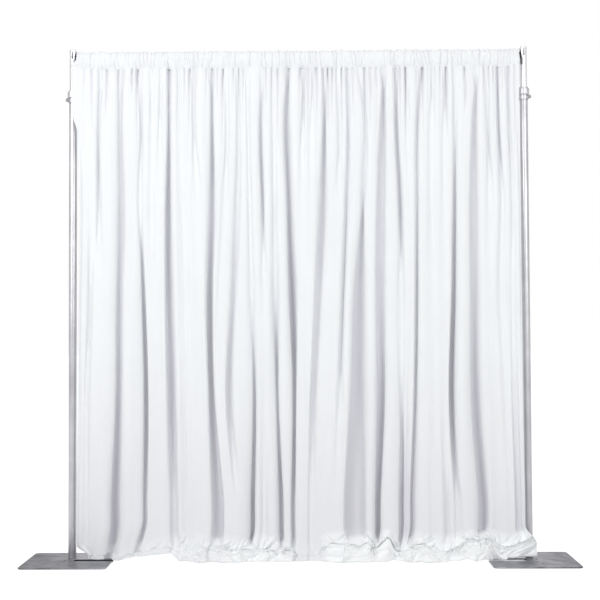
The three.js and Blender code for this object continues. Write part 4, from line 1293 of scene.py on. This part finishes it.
@dataclass
class Studio:
    """The camera, the white floor and surround, and the soft lights."""

    camera_place: Triple = (0.07208, -5.18293, 1.05763)
    pitch: float = 0.03307
    roll: float = -0.00487
    yaw: float = -0.01265
    focal_pixels: float = 1093.84
    frame_pixels: int = 600
    sensor: float = 36.0
    floor_half: float = 60.0
    # A painted shadow on the floor under the left plate's slot.
    patch_span: Pair = (-1.08, -0.88)
    patch_half: float = 0.021
    patch_edge: float = 0.002
    near_glow: float = 0.80
    floor_shade: float = 0.32
    indirect: float = 0.45

    def camera(self) -> None:
        """Puts the camera where the photograph was taken from."""
        flat, rise = math.cos(self.pitch), math.sin(self.pitch)
        forward = np.array([flat * math.sin(self.yaw), flat * math.cos(self.yaw), rise])
        right = np.array([math.cos(self.yaw), -math.sin(self.yaw), 0.0])
        up = np.cross(right, forward)
        c, s = math.cos(self.roll), math.sin(self.roll)
        data = bpy.data.cameras.new("camera")
        data.sensor_width = self.sensor
        data.lens = self.focal_pixels / self.frame_pixels * self.sensor
        data.clip_end = 200
        camera = bpy.data.objects.new("camera", data)
        bpy.context.scene.collection.objects.link(camera)
        axes = np.stack([c * right + s * up, c * up - s * right, -forward], axis=1)
        camera.matrix_world = Matrix.Translation(self.camera_place) @ Matrix(axes.tolist()).to_4x4()
        bpy.context.scene.camera = camera

    def seen(self, bench: Bench) -> Wire:
        """Tells the rays that show a thing from those that light a surface.

        Args:
            bench: where the nodes are added.

        Returns:
            1 for rays of the camera, of reflections and through glass, otherwise 0.
        """
        path = bench.node("ShaderNodeLightPath")
        shown = path.out("Is Camera Ray").larger(path.out("Is Glossy Ray"))
        return shown.larger(path.out("Is Transmission Ray"))

    def world(self) -> None:
        """A white surround that lights the object only softly."""
        world = bpy.data.worlds.new("surround")
        bpy.context.scene.world = world
        bench = Bench(world)
        strength = self.indirect + (1 - self.indirect) * self.seen(bench)
        shader = bench.node("ShaderNodeBackground", {}, {"Color": (1, 1, 1, 1), "Strength": strength})
        bench.node("ShaderNodeOutputWorld", {}, {"Surface": shader})

    def floor(self) -> None:
        """A pale floor that shows white, keeps the object's shadow and has painted shadow under the left
        slot.
        """
        material = bpy.data.materials.new("studio_floor")
        bench = Bench(material)
        place = bench.node("ShaderNodeTexCoord").out("Object")
        away = bench.node("ShaderNodeVectorMath", {"operation": "LENGTH"}, {0: place}).out("Value")
        axes = bench.node("ShaderNodeSeparateXYZ", {}, {0: place})
        x, y = axes.out("X"), axes.out("Y")
        (left, right), half, edge = self.patch_span, self.patch_half, self.patch_edge
        # Painted shadow where the floor shows through the left plate's slot.
        patch = x.above(left, left + 10 * edge) * (right - x).above(0.0, edge)
        patch = patch * y.above(-half, edge - half) * (half - y).above(0.0, edge)
        lit = 1.0 - patch * 0.95
        glowing = self.near_glow + (1 - self.near_glow) * away.above(1.5, 5.0)
        bright = bench.tint(glowing * lit, (0, 0, 0), (1, 1, 1))
        glow = bench.node("ShaderNodeEmission", {}, {"Color": bright, "Strength": 1.0})
        shade = bench.tint(lit, (0, 0, 0), (self.floor_shade,) * 3)
        soft = bench.node("ShaderNodeBsdfDiffuse", {}, {"Color": shade})
        shown = bench.node("ShaderNodeAddShader", {}, {0: glow, 1: soft})
        plain = bench.node("ShaderNodeBsdfDiffuse", {}, {"Color": (0.92, 0.92, 0.92, 1)})
        mixed = bench.node("ShaderNodeMixShader", {}, {0: self.seen(bench), 1: plain, 2: shown})
        bench.node("ShaderNodeOutputMaterial", {}, {"Surface": mixed})
        corners = np.array([(-1, -1, 0), (1, -1, 0), (1, 1, 0), (-1, 1, 0)]) * self.floor_half
        floor = lay_mesh("floor", corners, np.array([[0, 1, 2, 3]]))
        floor.data.materials.append(material)

    def lamp(self, name: str, place: Triple, target: Triple, size: Pair, watts: float) -> None:
        """Sets one soft box.

        Args:
            name: its name.
            place: where it stands.
            target: the point that it faces.
            size: its width and height.
            watts: its power.
        """
        data = bpy.data.lights.new(name, "AREA")
        data.shape, data.size, data.size_y, data.energy = "RECTANGLE", size[0], size[1], watts
        lamp = bpy.data.objects.new(name, data)
        bpy.context.scene.collection.objects.link(lamp)
        lamp.location = place
        lamp.rotation_euler = (Vector(target) - Vector(place)).to_track_quat("-Z", "Y").to_euler()

    def build(self) -> None:
        """Sets the view, the surround, the floor and the lamps."""
        bpy.context.scene.view_settings.view_transform = "Standard"
        self.camera()
        self.world()
        self.floor()
        self.lamp("key", (-3.0, -3.8, 3.0), (0.1, 0, 2.3), (1.5, 1.5), 100)
        self.lamp("fill", (2.9, -4.2, 3.0), (-0.1, 0, 2.3), (1.8, 1.8), 79)
        self.lamp("back", (0.6, 3.8, 5.0), (0, 0, 0.9), (3.0, 2.0), 175)
        self.lamp("top", (0, -1.5, 8.0), (0, 0, 0), (3.0, 1.5), 50)


def main() -> None:
    """Builds the backdrop piece by piece."""
    logging.basicConfig(level=logging.INFO, format="%(name)s: %(message)s")
    Studio().build()
    finishes = Finishes()
    for side in Side:
        Upright(side, finishes).build()
        Collar(side, finishes).build()
    Crossbar(finishes).build()
    Drape(finishes).build()


if __name__ == "__main__":
    main()
